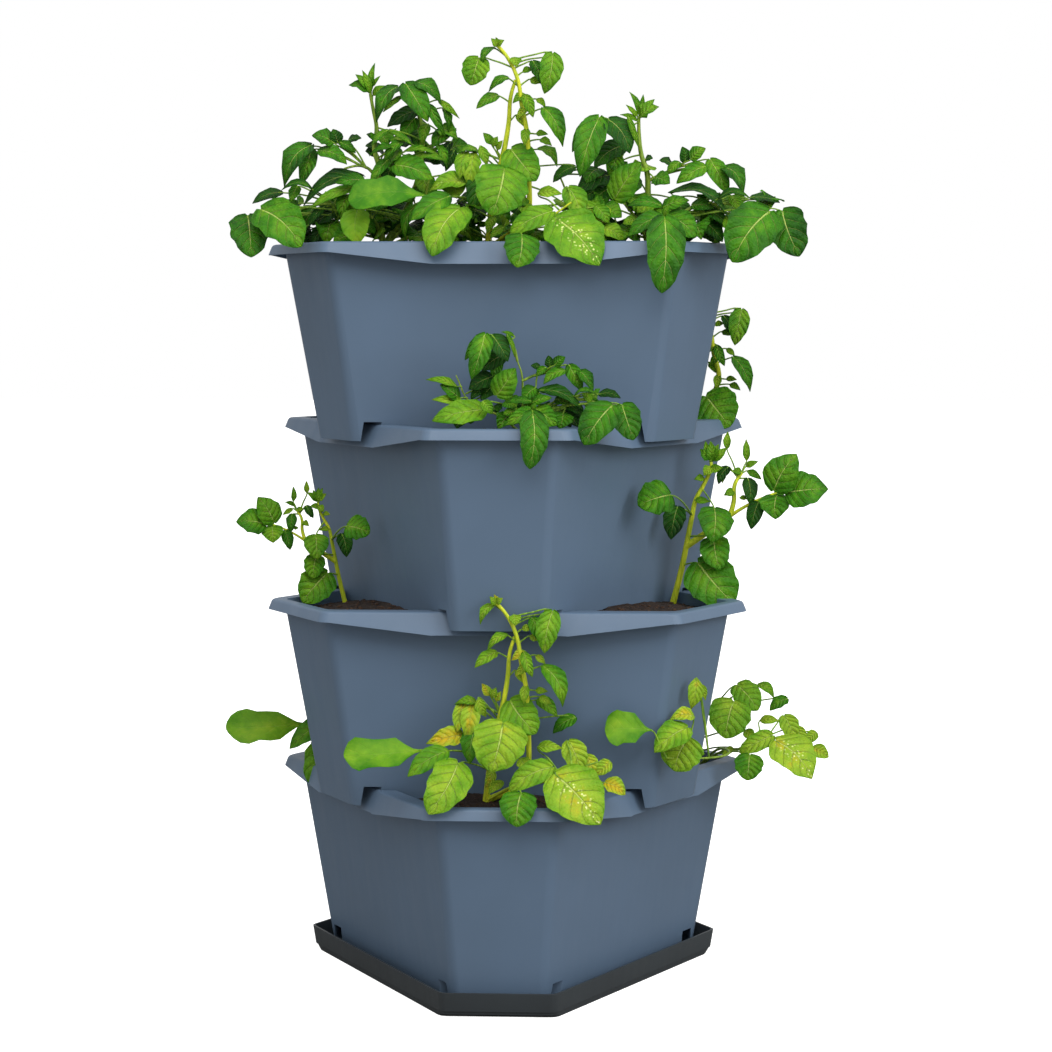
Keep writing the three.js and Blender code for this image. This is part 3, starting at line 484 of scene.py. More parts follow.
# the least width of the blades that each blank is for
blanks = [
    (32 * mm, makeBlank("largeBlade", 12, 18)),
    (16 * mm, makeBlank("middleBlade", 8, 12)),
    (0, makeBlank("smallBlade", 4, 8)),
]

# How each look of leaf is bent: bow lifts its middle, fold lifts its edges, curl drops its tip, wave
# ripples its edge, lobe draws the blade back beside its foot, tilt turns its face up from the front; tone 0
# is darkest and 1 yellowed; veined says how strongly its veins show, and specks how many pale specks it has
plain = {
    "outline": "broad", "bow": 0.1, "fold": 0.08, "curl": 0.08, "wave": 0.09, "lobe": 0.06, "tilt": 28,
    "tone": 0, "veined": 1, "specks": 0,
}
slim = {"outline": "slim", "lobe": 0}
arch = {"outline": "pointed", "fold": 0.22, "curl": 0.12, "wave": 0.12}
looks = {
    "round": plain | {"outline": "round", "fold": 0.05, "wave": 0.06, "lobe": 0.08, "tilt": 18},
    "broad": plain | {"outline": "round"},
    "leaf": plain | {"bow": 0.12, "fold": 0.12, "curl": 0.1, "tilt": 34, "veined": 0.9},
    # the dark look is painted shade: a lower tone for leaves deep in a plant and at its back
    "dark": plain | {"curl": 0.12, "wave": 0.12, "tilt": 44, "tone": -0.24, "veined": 0.7},
    "young": plain | slim | {
        "bow": 0.12, "fold": 0.3, "curl": 0.12, "wave": 0.14, "tilt": 25, "tone": 0.14, "veined": 0.5,
    },
    "crinkled": plain | slim | {
        "bow": 0.2, "fold": 0.4, "curl": 0.2, "wave": 0.28, "tilt": 40, "tone": 0.06, "veined": 0.9,
    },
    "pale": plain | {"curl": 0.06, "tilt": 36, "tone": 0.14, "veined": 0.8},
    "specked": plain | {"bow": 0.08, "fold": 0.05, "curl": 0.05, "tilt": 40, "tone": 0.12, "specks": 1},
    "paddle": plain | {
        "outline": "paddle", "bow": 0.07, "fold": 0.16, "curl": 0.05, "wave": 0.16, "lobe": 0, "tilt": 32,
        "tone": -0.1, "veined": 0.12,
    },
    "yellow": plain | {
        "outline": "pointed", "bow": 0.14, "fold": 0.3, "curl": 0.15, "wave": 0.2, "tilt": 35, "tone": 0.2,
        "veined": 0.6, "specks": 0.3,
    },
    "darkRound": plain | {"outline": "round", "tilt": 25, "tone": -0.15},
    "quilted": plain | {"outline": "round", "wave": 0.1, "tilt": 18, "tone": -0.1},
    "olive": plain | {"outline": "round", "fold": 0.16, "tilt": 30, "tone": 0.2, "veined": 0.2},
    "blueGreen": plain | {"tilt": 30, "tone": -0.08, "veined": 0.6},
    "yellowGreen": plain | {"fold": 0.2, "wave": 0.14, "tilt": 32, "tone": 0.14, "veined": 0.7},
    # the dark arched look below is painted shade as well, for arched leaves low and deep in a plant
    "shadedArch": plain | arch | {"bow": 0.2, "tilt": 55, "tone": -0.24, "veined": 0.7},
    "arched": plain | arch | {"bow": 0.24, "tilt": 50, "tone": -0.06, "veined": 0.9},
}


print("plants")
# Stems are rows of (across, out, up); a leaf row is its stem, the height on the stem where it springs,
# the blade's foot (across, out, up), its tip (across, out, up), its width and its look. Across, up and width
# are shares of the plant's span, out is a share of its reach, and heights count from the top of the rim.
frontStem = [(-0.032, 0, 0.022), (0.009, 0.15, 0.288)]
frontStemTop = [
    (0.056, 0.25, 0.484), (0.079, 0.32, 0.619), (0.09, 0.42, 0.753), (0.114, 0.48, 0.836),
]
sideShoot = [(0.01, 0.02, 0.02), (0.12, 0.3, 0.07), (0.28, 0.6, 0.12), (0.4, 0.7, 0.2)]
secondStem = [
    (0.011, 0.02, 0.022), (0.166, 0.1, 0.081), (0.185, 0.18, 0.175), (0.186, 0.25, 0.295),
    (0.176, 0.38, 0.549), (0.145, 0.45, 0.718), (0.126, 0.5, 0.836), (0.07, 0.52, 0.954),
    (0.025, 0.55, 1.008),
]
lowLeftLeaves = [
    (0, 0.32, -0.08, 0.3, 0.357, -0.117, 0.5, 0.173, 0.09, "dark"),
    (0, 0.19, -0.229, 0.55, 0.231, -0.421, 0.75, 0.116, 0.096, "blueGreen"),
    (0, 0.13, -0.17, 0.65, 0.17, -0.309, 1.05, -0.064, 0.166, "broad"),
    (0, 0.43, -0.079, 0.2, 0.467, -0.188, 0.3, 0.473, 0.045, "arched"),
    (0, 0.43, -0.144, 0.25, 0.47, -0.176, 0.4, 0.329, 0.061, "pale"),
    (0, 0.09, 0.004, 0.4, 0.128, -0.032, 0.5, 0.049, 0.043, "pale"),
    (0, 0.27, -0.151, 0.3, 0.31, -0.327, 0.45, 0.277, 0.085, "yellow"),
    (0, 0.19, -0.338, 0.5, 0.235, -0.736, 0.75, 0.22, 0.14, "paddle"),
    (0, 0.38, -0.1, 0.25, 0.47, -0.13, 0.4, 0.29, 0.08, "young"),
    (0, 0.4, -0.07, 0.3, 0.5, -0.03, 0.32, 0.4, 0.045, "young"),
    (0, 0.42, -0.01, 0.25, 0.51, -0.05, 0.28, 0.57, 0.04, "young"),
    (0, 0.42, 0, 0.25, 0.5, 0.02, 0.28, 0.55, 0.035, "young"),
    (0, 0.43, 0.02, 0.25, 0.48, 0.045, 0.28, 0.53, 0.03, "young"),
]
lowRightLeaves = [
    (0, 0.33, 0.056, 0.62, 0.371, -0.004, 0.85, 0.138, 0.216, "round"),
    (0, 0.44, 0.092, 0.3, 0.482, 0.221, 0.5, 0.323, 0.147, "broad"),
    (1, 0.11, 0.301, 0.7, 0.153, 0.087, 0.85, 0.048, 0.099, "broad"),
    (1, 0.05, 0.146, 0.95, 0.026, 0.125, 1.12, -0.132, 0.144, "darkRound"),
    (1, 0.1, 0.32, 0.8, 0.115, 0.54, 1.1, -0.118, 0.235, "specked"),
    (1, 0.2, 0.388, 0.5, 0.281, 0.449, 0.6, 0.121, 0.1, "pale"),
    (1, 0.17, 0.475, 0.45, 0.209, 0.516, 0.5, 0.097, 0.068, "pale"),
    (1, 0.13, 0.596, 0.45, 0.175, 0.523, 0.5, 0.11, 0.061, "yellowGreen"),
    (1, 0.05, 0.572, 0.5, 0.071, 0.673, 0.55, 0.014, 0.075, "yellowGreen"),
    (0, 0.45, 0.232, 0.2, 0.486, 0.335, 0.3, 0.404, 0.061, "arched"),
    (0, 0.36, 0.424, 0.15, 0.397, 0.306, 0.2, 0.326, 0.069, "dark"),
    (0, 0.05, 0.054, 0.5, 0.075, -0.016, 0.6, 0.022, 0.039, "yellowGreen"),
    (1, 0.16, 0.23, 0.5, 0.25, 0.35, 0.6, 0.25, 0.05, "young"),
    (0, 0.14, 0.14, 0.3, 0.19, 0.2, 0.45, 0.12, 0.06, "young"),
]
crownLeaves = [
    (2, 0.95, 0.007, 0.5, 0.997, -0.063, 0.6, 0.912, 0.046, "arched"),
    (2, 0.89, 0.203, 0.5, 0.93, 0.256, 0.6, 0.811, 0.061, "dark"),
    (2, 0.93, 0.305, 0.55, 0.967, 0.264, 0.65, 0.764, 0.096, "leaf"),
    (2, 0.91, 0.259, 0.5, 0.952, 0.313, 0.55, 0.963, 0.036, "young"),
    (2, 0.8, 0.075, 0.48, 0.845, -0.026, 0.58, 0.779, 0.047, "arched"),
    (0, 0.72, 0.022, 0.45, 0.756, -0.086, 0.58, 0.693, 0.053, "leaf"),
    (2, 0.65, 0.259, 0.5, 0.687, 0.363, 0.62, 0.498, 0.084, "arched"),
    (2, 0.71, 0.161, 0.5, 0.755, 0.205, 0.6, 0.643, 0.047, "leaf"),
    (2, 0.95, 0.019, 0.55, 1.004, -0.008, 0.6, 1.044, 0.032, "young"),
    (2, 0.95, 0.023, 0.55, 1.008, 0.053, 0.6, 1.036, 0.03, "young"),
    (2, 0.95, 0.028, 0.5, 1.002, 0.014, 0.55, 1.051, 0.027, "young"),
    (2, 0.9, 0.11, 0.53, 0.95, 0.12, 0.6, 0.9, 0.05, "young"),
    (2, 0.85, 0.15, 0.5, 0.875, 0.205, 0.5, 0.89, 0.03, "young"),
    (2, 0.8, 0.19, 0.48, 0.84, 0.24, 0.5, 0.82, 0.035, "young"),
    (2, 0.72, 0.17, 0.44, 0.76, 0.1, 0.5, 0.72, 0.04, "young"),
    (2, 0.66, 0.17, 0.42, 0.7, 0.12, 0.5, 0.64, 0.035, "young"),
    (2, 0.56, 0.22, 0.4, 0.56, 0.28, 0.45, 0.56, 0.03, "young"),
    (2, 0.6, 0.175, 0.4, 0.59, 0.16, 0.48, 0.5, 0.04, "young"),
    (2, 0.72, 0.22, 0.42, 0.74, 0.27, 0.45, 0.7, 0.03, "young"),
    (2, 0.52, 0.24, 0.42, 0.53, 0.3, 0.5, 0.5, 0.035, "young"),
    (0, 0.62, 0.12, 0.36, 0.66, 0.16, 0.42, 0.6, 0.035, "young"),
]
overRimLeaves = [(2, 0.5, 0.1, 0.55, 0.46, 0.23, 0.72, 0.29, 0.22, "round")]
topmostLeaves = [(2, 0.9, -0.074, 0.55, 0.944, -0.119, 0.62, 0.806, 0.114, "round")]
cornerShoot = [
    (0.01, 0.02, 0.02), (0.07, 0.6, 0.1), (0.12, 1.4, 0.145), (0.03, 2.15, 0.17), (-0.18, 2.7, 0.2),
    (-0.32, 3.05, 0.23),
]
cornerLeaves = [
    (2, 0.19, -0.185, 2.85, 0.33, -0.27, 2.95, 0.145, 0.21, "round"),
    (2, 0.2, -0.19, 2.9, 0.4, -0.395, 3.15, 0.285, 0.15, "leaf"),
    (2, 0.23, -0.41, 3.1, 0.4, -0.69, 3.15, 0.41, 0.17, "paddle"),
    (2, 0.2, -0.15, 2.75, 0.46, -0.29, 2.9, 0.46, 0.08, "yellow"),
    (2, 0.18, -0.125, 2.6, 0.685, -0.16, 2.67, 0.5, 0.08, "young"),
    (2, 0.18, -0.1, 2.5, 0.64, -0.07, 2.6, 0.55, 0.04, "young"),
]
slenderStems = [
    [(0, 0, 0), (0.04, 0.05, 0.12), (0.065, 0.1, 0.25), (0.09, 0.15, 0.39), (0.11, 0.2, 0.49),
     (0.15, 0.25, 0.57), (0.185, 0.3, 0.66), (0.18, 0.3, 0.71)],
    [(0.065, 0.1, 0.25), (0.19, 0.2, 0.34), (0.27, 0.25, 0.4), (0.3, 0.28, 0.48), (0.305, 0.3, 0.57),
     (0.34, 0.3, 0.63)],
    [(0.27, 0.25, 0.4), (0.355, 0.35, 0.46), (0.475, 0.45, 0.52), (0.57, 0.5, 0.55)],
]
slenderLeaves = [
    (0, 0.41, -0.045, 1.1, 0.54, -0.205, 1.2, 0.5, 0.156, "broad"),
    (0, 0.41, 0.01, 0.45, 0.46, -0.03, 0.6, 0.31, 0.092, "dark"),
    (0, 0.55, 0.2, 0.35, 0.45, 0.185, 0.55, 0.29, 0.143, "leaf"),
    (0, 0.3, 0.2, 0.3, 0.3, 0.22, 0.5, 0.15, 0.12, "broad"),
    (0, 0.15, 0.12, 0.25, 0.17, 0.29, 0.5, -0.02, 0.202, "round"),
    (0, 0.48, 0.105, 0.22, 0.49, 0.18, 0.26, 0.485, 0.032, "young"),
    (0, 0.68, 0.18, 0.32, 0.69, 0.155, 0.34, 0.79, 0.037, "young"),
    (0, 0.68, 0.18, 0.32, 0.7, 0.13, 0.36, 0.75, 0.046, "young"),
    (0, 0.68, 0.185, 0.32, 0.69, 0.18, 0.36, 0.79, 0.046, "young"),
    (0, 0.68, 0.19, 0.32, 0.69, 0.26, 0.36, 0.76, 0.041, "young"),
    (0, 0.66, 0.185, 0.32, 0.66, 0.145, 0.38, 0.62, 0.046, "young"),
    (0, 0.68, 0.19, 0.32, 0.69, 0.22, 0.36, 0.775, 0.037, "young"),
    (0, 0.64, 0.18, 0.32, 0.65, 0.24, 0.38, 0.66, 0.037, "young"),
    (0, 0.58, 0.15, 0.28, 0.6, 0.1, 0.34, 0.6, 0.032, "young"),
    (1, 0.6, 0.27, 0.35, 0.66, 0.216, 0.42, 0.58, 0.046, "dark"),
    (1, 0.6, 0.265, 0.32, 0.75, 0.27, 0.33, 0.84, 0.032, "young"),
    (1, 0.61, 0.25, 0.32, 0.66, 0.24, 0.36, 0.58, 0.028, "young"),
    (1, 0.6, 0.37, 0.33, 0.6, 0.38, 0.45, 0.48, 0.064, "dark"),
    (1, 0.63, 0.365, 0.3, 0.69, 0.365, 0.3, 0.8, 0.032, "young"),
    (1, 0.62, 0.34, 0.3, 0.63, 0.29, 0.33, 0.64, 0.032, "young"),
    (1, 0.62, 0.365, 0.3, 0.64, 0.44, 0.34, 0.6, 0.032, "young"),
    (1, 0.63, 0.36, 0.3, 0.66, 0.42, 0.34, 0.69, 0.028, "young"),
    (1, 0.5, 0.3, 0.3, 0.54, 0.25, 0.36, 0.52, 0.037, "young"),
    (2, 0.49, 0.42, 0.42, 0.485, 0.377, 0.5, 0.355, 0.069, "dark"),
    (2, 0.49, 0.36, 0.36, 0.5, 0.325, 0.36, 0.505, 0.023, "young"),
    (2, 0.54, 0.497, 0.46, 0.545, 0.605, 0.5, 0.73, 0.143, "leaf"),
    (2, 0.55, 0.562, 0.5, 0.535, 0.757, 0.62, 0.565, 0.161, "leaf"),
    (2, 0.53, 0.51, 0.46, 0.52, 0.497, 0.6, 0.41, 0.124, "leaf"),
]
rightStem = [
    (-0.033, 0, 0.019), (-0.036, 0.06, 0.252), (-0.042, 0.1, 0.367), (-0.072, 0.12, 0.458),
    (-0.084, 0.14, 0.557), (-0.087, 0.18, 0.656),
]
leftStem = [
    (0.047, 0, 0.016), (0.059, 0.08, 0.232), (0.067, 0.12, 0.406), (0.088, 0.13, 0.488),
    (0.077, 0.14, 0.604), (0.092, 0.16, 0.687), (0.109, 0.18, 0.777),
]
armEnd = [(0.143, 0.12, 0.4), (0.22, 0.15, 0.395), (0.295, 0.15, 0.36)]
rightArm = [(-0.04, 0.09, 0.32), (0.067, 0.1, 0.37)] + armEnd
leftArm = [(0.062, 0.1, 0.3), (0.1, 0.11, 0.37)] + armEnd
bushyStems = [
    [(0.01, 0.02, 0.02), (0.1, 0.2, 0.13), (0.3, 0.3, 0.2), (0.5, 0.3, 0.17), (0.62, 0.25, 0.155)],
    [(-0.01, 0.02, 0.02), (-0.08, 0.1, 0.1), (-0.17, 0.2, 0.22), (-0.2, 0.2, 0.34)],
]
bentStem = [(-0.072, 0.12, 0.458), (-0.11, 0.2, 0.58), (-0.17, 0.25, 0.615), (-0.24, 0.3, 0.61)]
farStem = [(-0.01, 0.02, 0.02), (-0.2, 0.1, 0.08), (-0.4, 0, 0.17), (-0.5, -0.05, 0.36)]
rightShootLeaves = [
    (0, 0.62, -0.085, 0.18, 0.66, -0.13, 0.2, 0.783, 0.029, "young"),
    (0, 0.61, -0.092, 0.2, 0.651, -0.15, 0.24, 0.715, 0.023, "young"),
    (0, 0.61, -0.08, 0.2, 0.647, 0.007, 0.26, 0.711, 0.073, "crinkled"),
    (0, 0.64, -0.082, 0.15, 0.682, -0.063, 0.2, 0.767, 0.024, "young"),
    (0, 0.63, -0.075, 0.18, 0.668, -0.009, 0.2, 0.746, 0.041, "young"),
    (0, 0.39, -0.05, 0.1, 0.434, -0.015, 0.15, 0.441, 0.038, "dark"),
]
rightLeaves = [
    (4, 0.6, -0.295, 0.3, 0.642, -0.395, 0.5, 0.344, 0.12, "leaf"),
    (4, 0.6, -0.313, 0.2, 0.637, -0.436, 0.35, 0.475, 0.069, "leaf"),
    (4, 0.59, -0.245, 0.28, 0.635, -0.134, 0.45, 0.469, 0.114, "dark"),
    (4, 0.59, -0.092, 0.2, 0.628, -0.181, 0.25, 0.665, 0.023, "young"),
    (4, 0.6, -0.144, 0.35, 0.645, -0.091, 0.4, 0.487, 0.026, "pale"),
    (3, 0.33, -0.163, 0.1, 0.504, -0.321, 0.2, 0.401, 0.107, "dark"),
    (3, 0.33, -0.198, 0.15, 0.461, -0.242, 0.2, 0.352, 0.076, "leaf"),
    (3, 0.18, -0.212, 0.3, 0.225, -0.09, 0.45, 0.412, 0.148, "pale"),
    (3, 0.31, -0.24, 0.05, 0.351, -0.411, 0.15, 0.274, 0.111, "dark"),
    (3, 0.25, -0.23, 0, 0.286, -0.326, 0.1, 0.196, 0.083, "dark"),
    (3, 0.14, -0.311, 0.4, 0.182, -0.247, 0.45, 0.099, 0.065, "yellowGreen"),
    (0, 0.14, 0.019, 0.5, 0.185, -0.148, 0.6, 0.191, 0.053, "leaf"),
    (0, 0.14, 0.035, 0.5, 0.177, 0.158, 0.6, 0.216, 0.063, "leaf"),
    (0, 0.09, 0.033, 0.55, 0.126, -0.154, 0.75, 0.037, 0.087, "leaf"),
    (0, 0.09, 0.054, 0.55, 0.131, 0.191, 0.75, 0.029, 0.109, "broad"),
    (0, 0.07, 0.031, 0.85, 0.113, 0.009, 1.12, -0.258, 0.155, "quilted"),
    (0, 0.09, 0.028, 0.75, 0.131, 0.054, 0.8, 0.179, 0.034, "young"),
    (3, 0.07, -0.101, 0.4, 0.112, -0.173, 0.45, 0.095, 0.051, "pale"),
    (1, 0.37, 0.085, 0.15, 0.408, 0.024, 0.2, 0.431, 0.05, "dark"),
    (1, 0.38, 0.124, 0.2, 0.415, 0.057, 0.25, 0.357, 0.046, "leaf"),
    (1, 0.38, 0.154, 0.15, 0.421, 0.143, 0.2, 0.496, 0.055, "dark"),
    (1, 0.39, 0.187, 0.2, 0.432, 0.255, 0.25, 0.49, 0.064, "leaf"),
    (1, 0.35, 0.255, 0.25, 0.393, 0.105, 0.35, 0.312, 0.077, "leaf"),
    (1, 0.39, 0.286, 0.15, 0.429, 0.373, 0.3, 0.26, 0.085, "leaf"),
    (1, 0.35, 0.35, 0.2, 0.387, 0.453, 0.4, 0.258, 0.085, "arched"),
    (2, 0.2, 0.083, 0.2, 0.253, 0.384, 0.4, 0.146, 0.093, "shadedArch"),
    (2, 0.15, 0.189, 0.25, 0.19, 0.296, 0.35, 0.18, 0.062, "leaf"),
    (2, 0.18, 0.326, 0.4, 0.225, 0.478, 0.5, 0.235, 0.043, "arched"),
    (2, 0.2, 0.394, 0.3, 0.239, 0.43, 0.4, 0.167, 0.052, "pale"),
    (2, 0.19, 0.494, 0.3, 0.231, 0.636, 0.4, 0.217, 0.062, "dark"),
    (2, 0.11, 0.576, 0.55, 0.154, 0.377, 0.8, -0.096, 0.206, "broad"),
    (2, 0.12, 0.647, 0.45, 0.158, 0.72, 0.7, -0.07, 0.162, "quilted"),
    (2, 0.13, 0.266, 0.2, 0.17, 0.373, 0.3, 0.094, 0.066, "dark"),
    (2, 0.07, 0.261, 0.15, 0.105, 0.351, 0.25, 0.012, 0.083, "dark"),
    (2, 0.05, 0.247, 0.1, 0.051, 0.3, 0.2, 0.009, 0.062, "dark"),
    (5, 0.23, -0.32, 0.05, 0.268, -0.397, 0.1, 0.2, 0.056, "dark"),
]
umbrellaStem = [
    (-0.037, 0.02, 0.016), (-0.12, 0.05, 0.275), (-0.159, 0.08, 0.482), (-0.153, 0.12, 0.631),
    (-0.119, 0.18, 0.745), (-0.078, 0.2, 0.819),
]
leftLeaves = [
    (0, 0.74, 0.109, 0.18, 0.781, 0.212, 0.22, 0.833, 0.069, "crinkled"),
    (0, 0.75, 0.105, 0.16, 0.786, 0.088, 0.2, 0.938, 0.031, "young"),
    (0, 0.74, 0.109, 0.2, 0.777, 0.146, 0.24, 0.899, 0.031, "young"),
    (0, 0.75, 0.105, 0.16, 0.811, 0.059, 0.2, 0.872, 0.019, "young"),
    (0, 0.75, 0.113, 0.2, 0.797, 0.179, 0.26, 0.877, 0.041, "young"),
    (0, 0.73, 0.096, 0.16, 0.77, 0.03, 0.2, 0.822, 0.042, "young"),
    (4, 0.77, -0.036, 0.25, 0.808, 0.079, 0.45, 0.635, 0.083, "arched"),
    (4, 0.78, -0.077, 0.3, 0.823, -0.2, 0.5, 0.635, 0.11, "leaf"),
    (4, 0.79, -0.127, 0.2, 0.832, -0.266, 0.35, 0.735, 0.083, "arched"),
    (4, 0.7, -0.244, 0.2, 0.745, -0.356, 0.35, 0.653, 0.031, "young"),
    (4, 0.68, -0.193, 0.3, 0.724, -0.287, 0.45, 0.554, 0.043, "crinkled"),
    (4, 0.66, -0.269, 0.2, 0.703, -0.305, 0.3, 0.58, 0.036, "crinkled"),
    (4, 0.71, -0.053, 0.35, 0.755, 0.038, 0.45, 0.677, 0.029, "pale"),
    (4, 0.65, -0.132, 0.1, 0.694, 0.022, 0.2, 0.619, 0.083, "dark"),
    (4, 0.61, -0.124, 0.12, 0.652, -0.053, 0.2, 0.553, 0.073, "leaf"),
    (4, 0.55, -0.286, 0.15, 0.589, -0.214, 0.25, 0.502, 0.066, "leaf"),
    (4, 0.47, -0.102, 0.4, 0.514, 0.013, 0.5, 0.576, 0.031, "pale"),
    (4, 0.54, 0.013, 0.4, 0.58, 0.095, 0.5, 0.502, 0.031, "pale"),
    (0, 0.44, -0.036, 0.4, 0.481, 0.104, 0.5, 0.465, 0.038, "crinkled"),
    (0, 0.48, -0.077, 0.35, 0.524, 0.038, 0.5, 0.42, 0.041, "crinkled"),
    (4, 0.42, -0.061, 0.42, 0.46, -0.258, 0.5, 0.466, 0.033, "crinkled"),
    (4, 0.4, -0.11, 0.45, 0.439, -0.286, 0.55, 0.424, 0.036, "pale"),
    (4, 0.49, -0.311, 0.1, 0.528, -0.264, 0.2, 0.425, 0.038, "dark"),
    (4, 0.44, -0.328, 0.1, 0.482, -0.281, 0.2, 0.38, 0.045, "dark"),
    (4, 0.58, -0.194, 0.2, 0.62, -0.16, 0.3, 0.509, 0.048, "crinkled"),
    (4, 0.47, -0.235, 0.2, 0.512, -0.301, 0.3, 0.394, 0.042, "crinkled"),
    (4, 0.36, -0.028, 0.45, 0.397, -0.22, 0.6, 0.332, 0.113, "leaf"),
    (0, 0.5, 0.084, 0.1, 0.539, 0.125, 0.15, 0.571, 0.038, "dark"),
    (0, 0.39, 0.013, 0.3, 0.43, 0.104, 0.45, 0.319, 0.052, "leaf"),
    (0, 0.37, -0.003, 0.15, 0.405, 0.022, 0.25, 0.311, 0.076, "dark"),
    (0, 0.28, 0.136, 0.5, 0.317, 0.273, 0.65, 0.309, 0.065, "leaf"),
    (2, 0.2, 0.154, 0.2, 0.341, 0.457, 0.4, 0.22, 0.097, "shadedArch"),
    (1, 0.39, 0.415, 0.2, 0.506, 0.556, 0.4, 0.302, 0.1, "arched"),
    (1, 0.39, 0.415, 0.15, 0.487, 0.467, 0.3, 0.309, 0.075, "leaf"),
    (2, 0.2, 0.412, 0.4, 0.278, 0.558, 0.5, 0.279, 0.043, "arched"),
    (2, 0.2, 0.483, 0.3, 0.292, 0.515, 0.4, 0.212, 0.048, "pale"),
    (2, 0.2, 0.566, 0.3, 0.259, 0.715, 0.4, 0.215, 0.065, "dark"),
    (2, 0.13, 0.663, 0.55, 0.167, 0.447, 0.8, -0.016, 0.181, "broad"),
    (2, 0.1, 0.735, 0.45, 0.136, 0.704, 0.7, -0.072, 0.161, "quilted"),
    (1, 0.39, 0.303, 0.2, 0.523, 0.407, 0.25, 0.565, 0.09, "leaf"),
    (1, 0.39, 0.377, 0.25, 0.476, 0.226, 0.35, 0.417, 0.081, "leaf"),
    (1, 0.39, 0.279, 0.15, 0.524, 0.301, 0.2, 0.592, 0.061, "dark"),
    (1, 0.39, 0.221, 0.15, 0.537, 0.158, 0.2, 0.551, 0.047, "dark"),
    (1, 0.39, 0.266, 0.2, 0.523, 0.183, 0.25, 0.472, 0.043, "leaf"),
    (0, 0.24, 0.174, 0.45, 0.281, 0.407, 0.6, 0.183, 0.051, "pale"),
    (0, 0.21, 0.211, 0.4, 0.249, 0.259, 0.5, 0.128, 0.065, "crinkled"),
    (3, 0.12, 0.169, 0.5, 0.161, 0.169, 0.6, -0.004, 0.118, "olive"),
    (3, 0.12, 0.291, 0.2, 0.158, 0.409, 0.3, 0.102, 0.079, "dark"),
    (3, 0.07, 0.275, 0.15, 0.109, 0.364, 0.25, 0.012, 0.083, "dark"),
    (3, 0.14, 0.343, 0.3, 0.185, 0.424, 0.4, 0.093, 0.043, "dark"),
    (3, 0.05, 0.345, 0.1, 0.081, 0.41, 0.2, 0.009, 0.069, "dark"),
    (3, 0.16, -0.151, 0.45, 0.2, -0.068, 0.55, 0.017, 0.051, "crinkled"),
    (3, 0.11, -0.037, 0, 0.15, 0.038, 0.1, 0.057, 0.077, "dark"),
    (3, 0.1, 0.063, 0, 0.142, 0.088, 0.1, 0.023, 0.063, "dark"),
]
sideLeaves = [
    (5, 0.12, -0.3, 0.2, 0.12, -0.66, 0.35, 0.06, 0.16, "pale"),
    (5, 0.2, -0.48, 0, 0.2, -0.6, 0.1, 0.3, 0.09, "leaf"),
    (5, 0.28, -0.49, 0, 0.28, -0.7, 0.1, 0.34, 0.05, "young"),
    (5, 0.16, -0.45, 0, 0.17, -0.66, 0.12, 0.2, 0.06, "young"),
]


# the same leaves moved across and up, and raised the more the farther out they stand
def moved(rows, across, up, rise):
    return [
        (stem, at, fx + across, fo, fu + up + rise * fo, tx + across, to, tu + up + rise * to, width, look)
        for stem, at, fx, fo, fu, tx, to, tu, width, look in rows
    ]


# the shoots of the left plant stay where they are, clear of the wall of the pot above
youngLeft = [row for row in lowLeftLeaves if row[-1] == "young"]
largeLeft = [row for row in lowLeftLeaves if row[-1] != "young"]
tallStems = [frontStem + frontStemTop, sideShoot, secondStem]
kinds = {
    "left": ([frontStem], moved(largeLeft, 0.12, -0.1, 0.08) + youngLeft),
    "low": ([frontStem, sideShoot], lowRightLeaves),
    "corner": (
        [frontStem, sideShoot, cornerShoot], moved(lowRightLeaves, 0.12, -0.01, 0.08) + cornerLeaves,
    ),
    "tall": (tallStems, moved(lowLeftLeaves + lowRightLeaves, 0, 0, 0.06) + crownLeaves),
    "topmost": (tallStems, lowLeftLeaves + lowRightLeaves + crownLeaves + topmostLeaves),
    "crown": (tallStems, overRimLeaves + crownLeaves),
    "slender": (slenderStems, slenderLeaves),
    "right": ([rightStem, rightArm] + bushyStems + [bentStem, farStem], rightShootLeaves + rightLeaves),
    "umbrella": ([leftStem, leftArm] + bushyStems + [umbrellaStem, farStem], leftLeaves),
    "cushion": ([rightStem[:4], rightArm] + bushyStems + [bentStem, farStem], rightLeaves + sideLeaves),
}
# A stem that ends above "tall" has the full thickness and the others the share "side". One that starts
# below "rooted" comes out of the soil.
growth = {
    "span": 200 * mm, "reach": 88 * mm, "thickness": 0.5 * mm, "broaden": 1.28, "soilGap": 0.6 * mm,
    "stem": 3.6 * mm, "stemTip": 1.7 * mm, "side": 0.55, "tall": 0.62, "rooted": 0.05,
    "stalk": 1 * mm, "stalkTip": 0.6 * mm, "stalkArch": 0.05, "heart": 0.12, "heartLift": 0.4,
    "turn": 3, "smooth": 60,
}
# how much blades differ by chance, how fast waves and teeth follow each other, and how soon a lobe ends
form = {
    "tilt": 8, "aside": 0.2, "phase": 6, "lopsided": 0.06, "tone": 0.08, "waves": 14, "slant": 2,
    "teeth": 21, "toothDepth": 0.05, "lobe": 4,
}
# the small leaves that fill a plant: how far out they stand, how they lean and rise, and their widths
filler = {
    "out": (-0.4, 0.3), "lean": (-0.12, 0.12), "rise": (-0.14, 0.05), "forward": 0.15, "width": (0.07, 0.12),
    "stemsAbove": 0.1, "lowestStalk": 0.02,
    # the leaves behind the stems mostly take the dark look, a painted shade for the back of the plant
    "behind": ["dark", "dark", "leaf", "crinkled"], "inFront": ["leaf", "pale", "crinkled"],
}
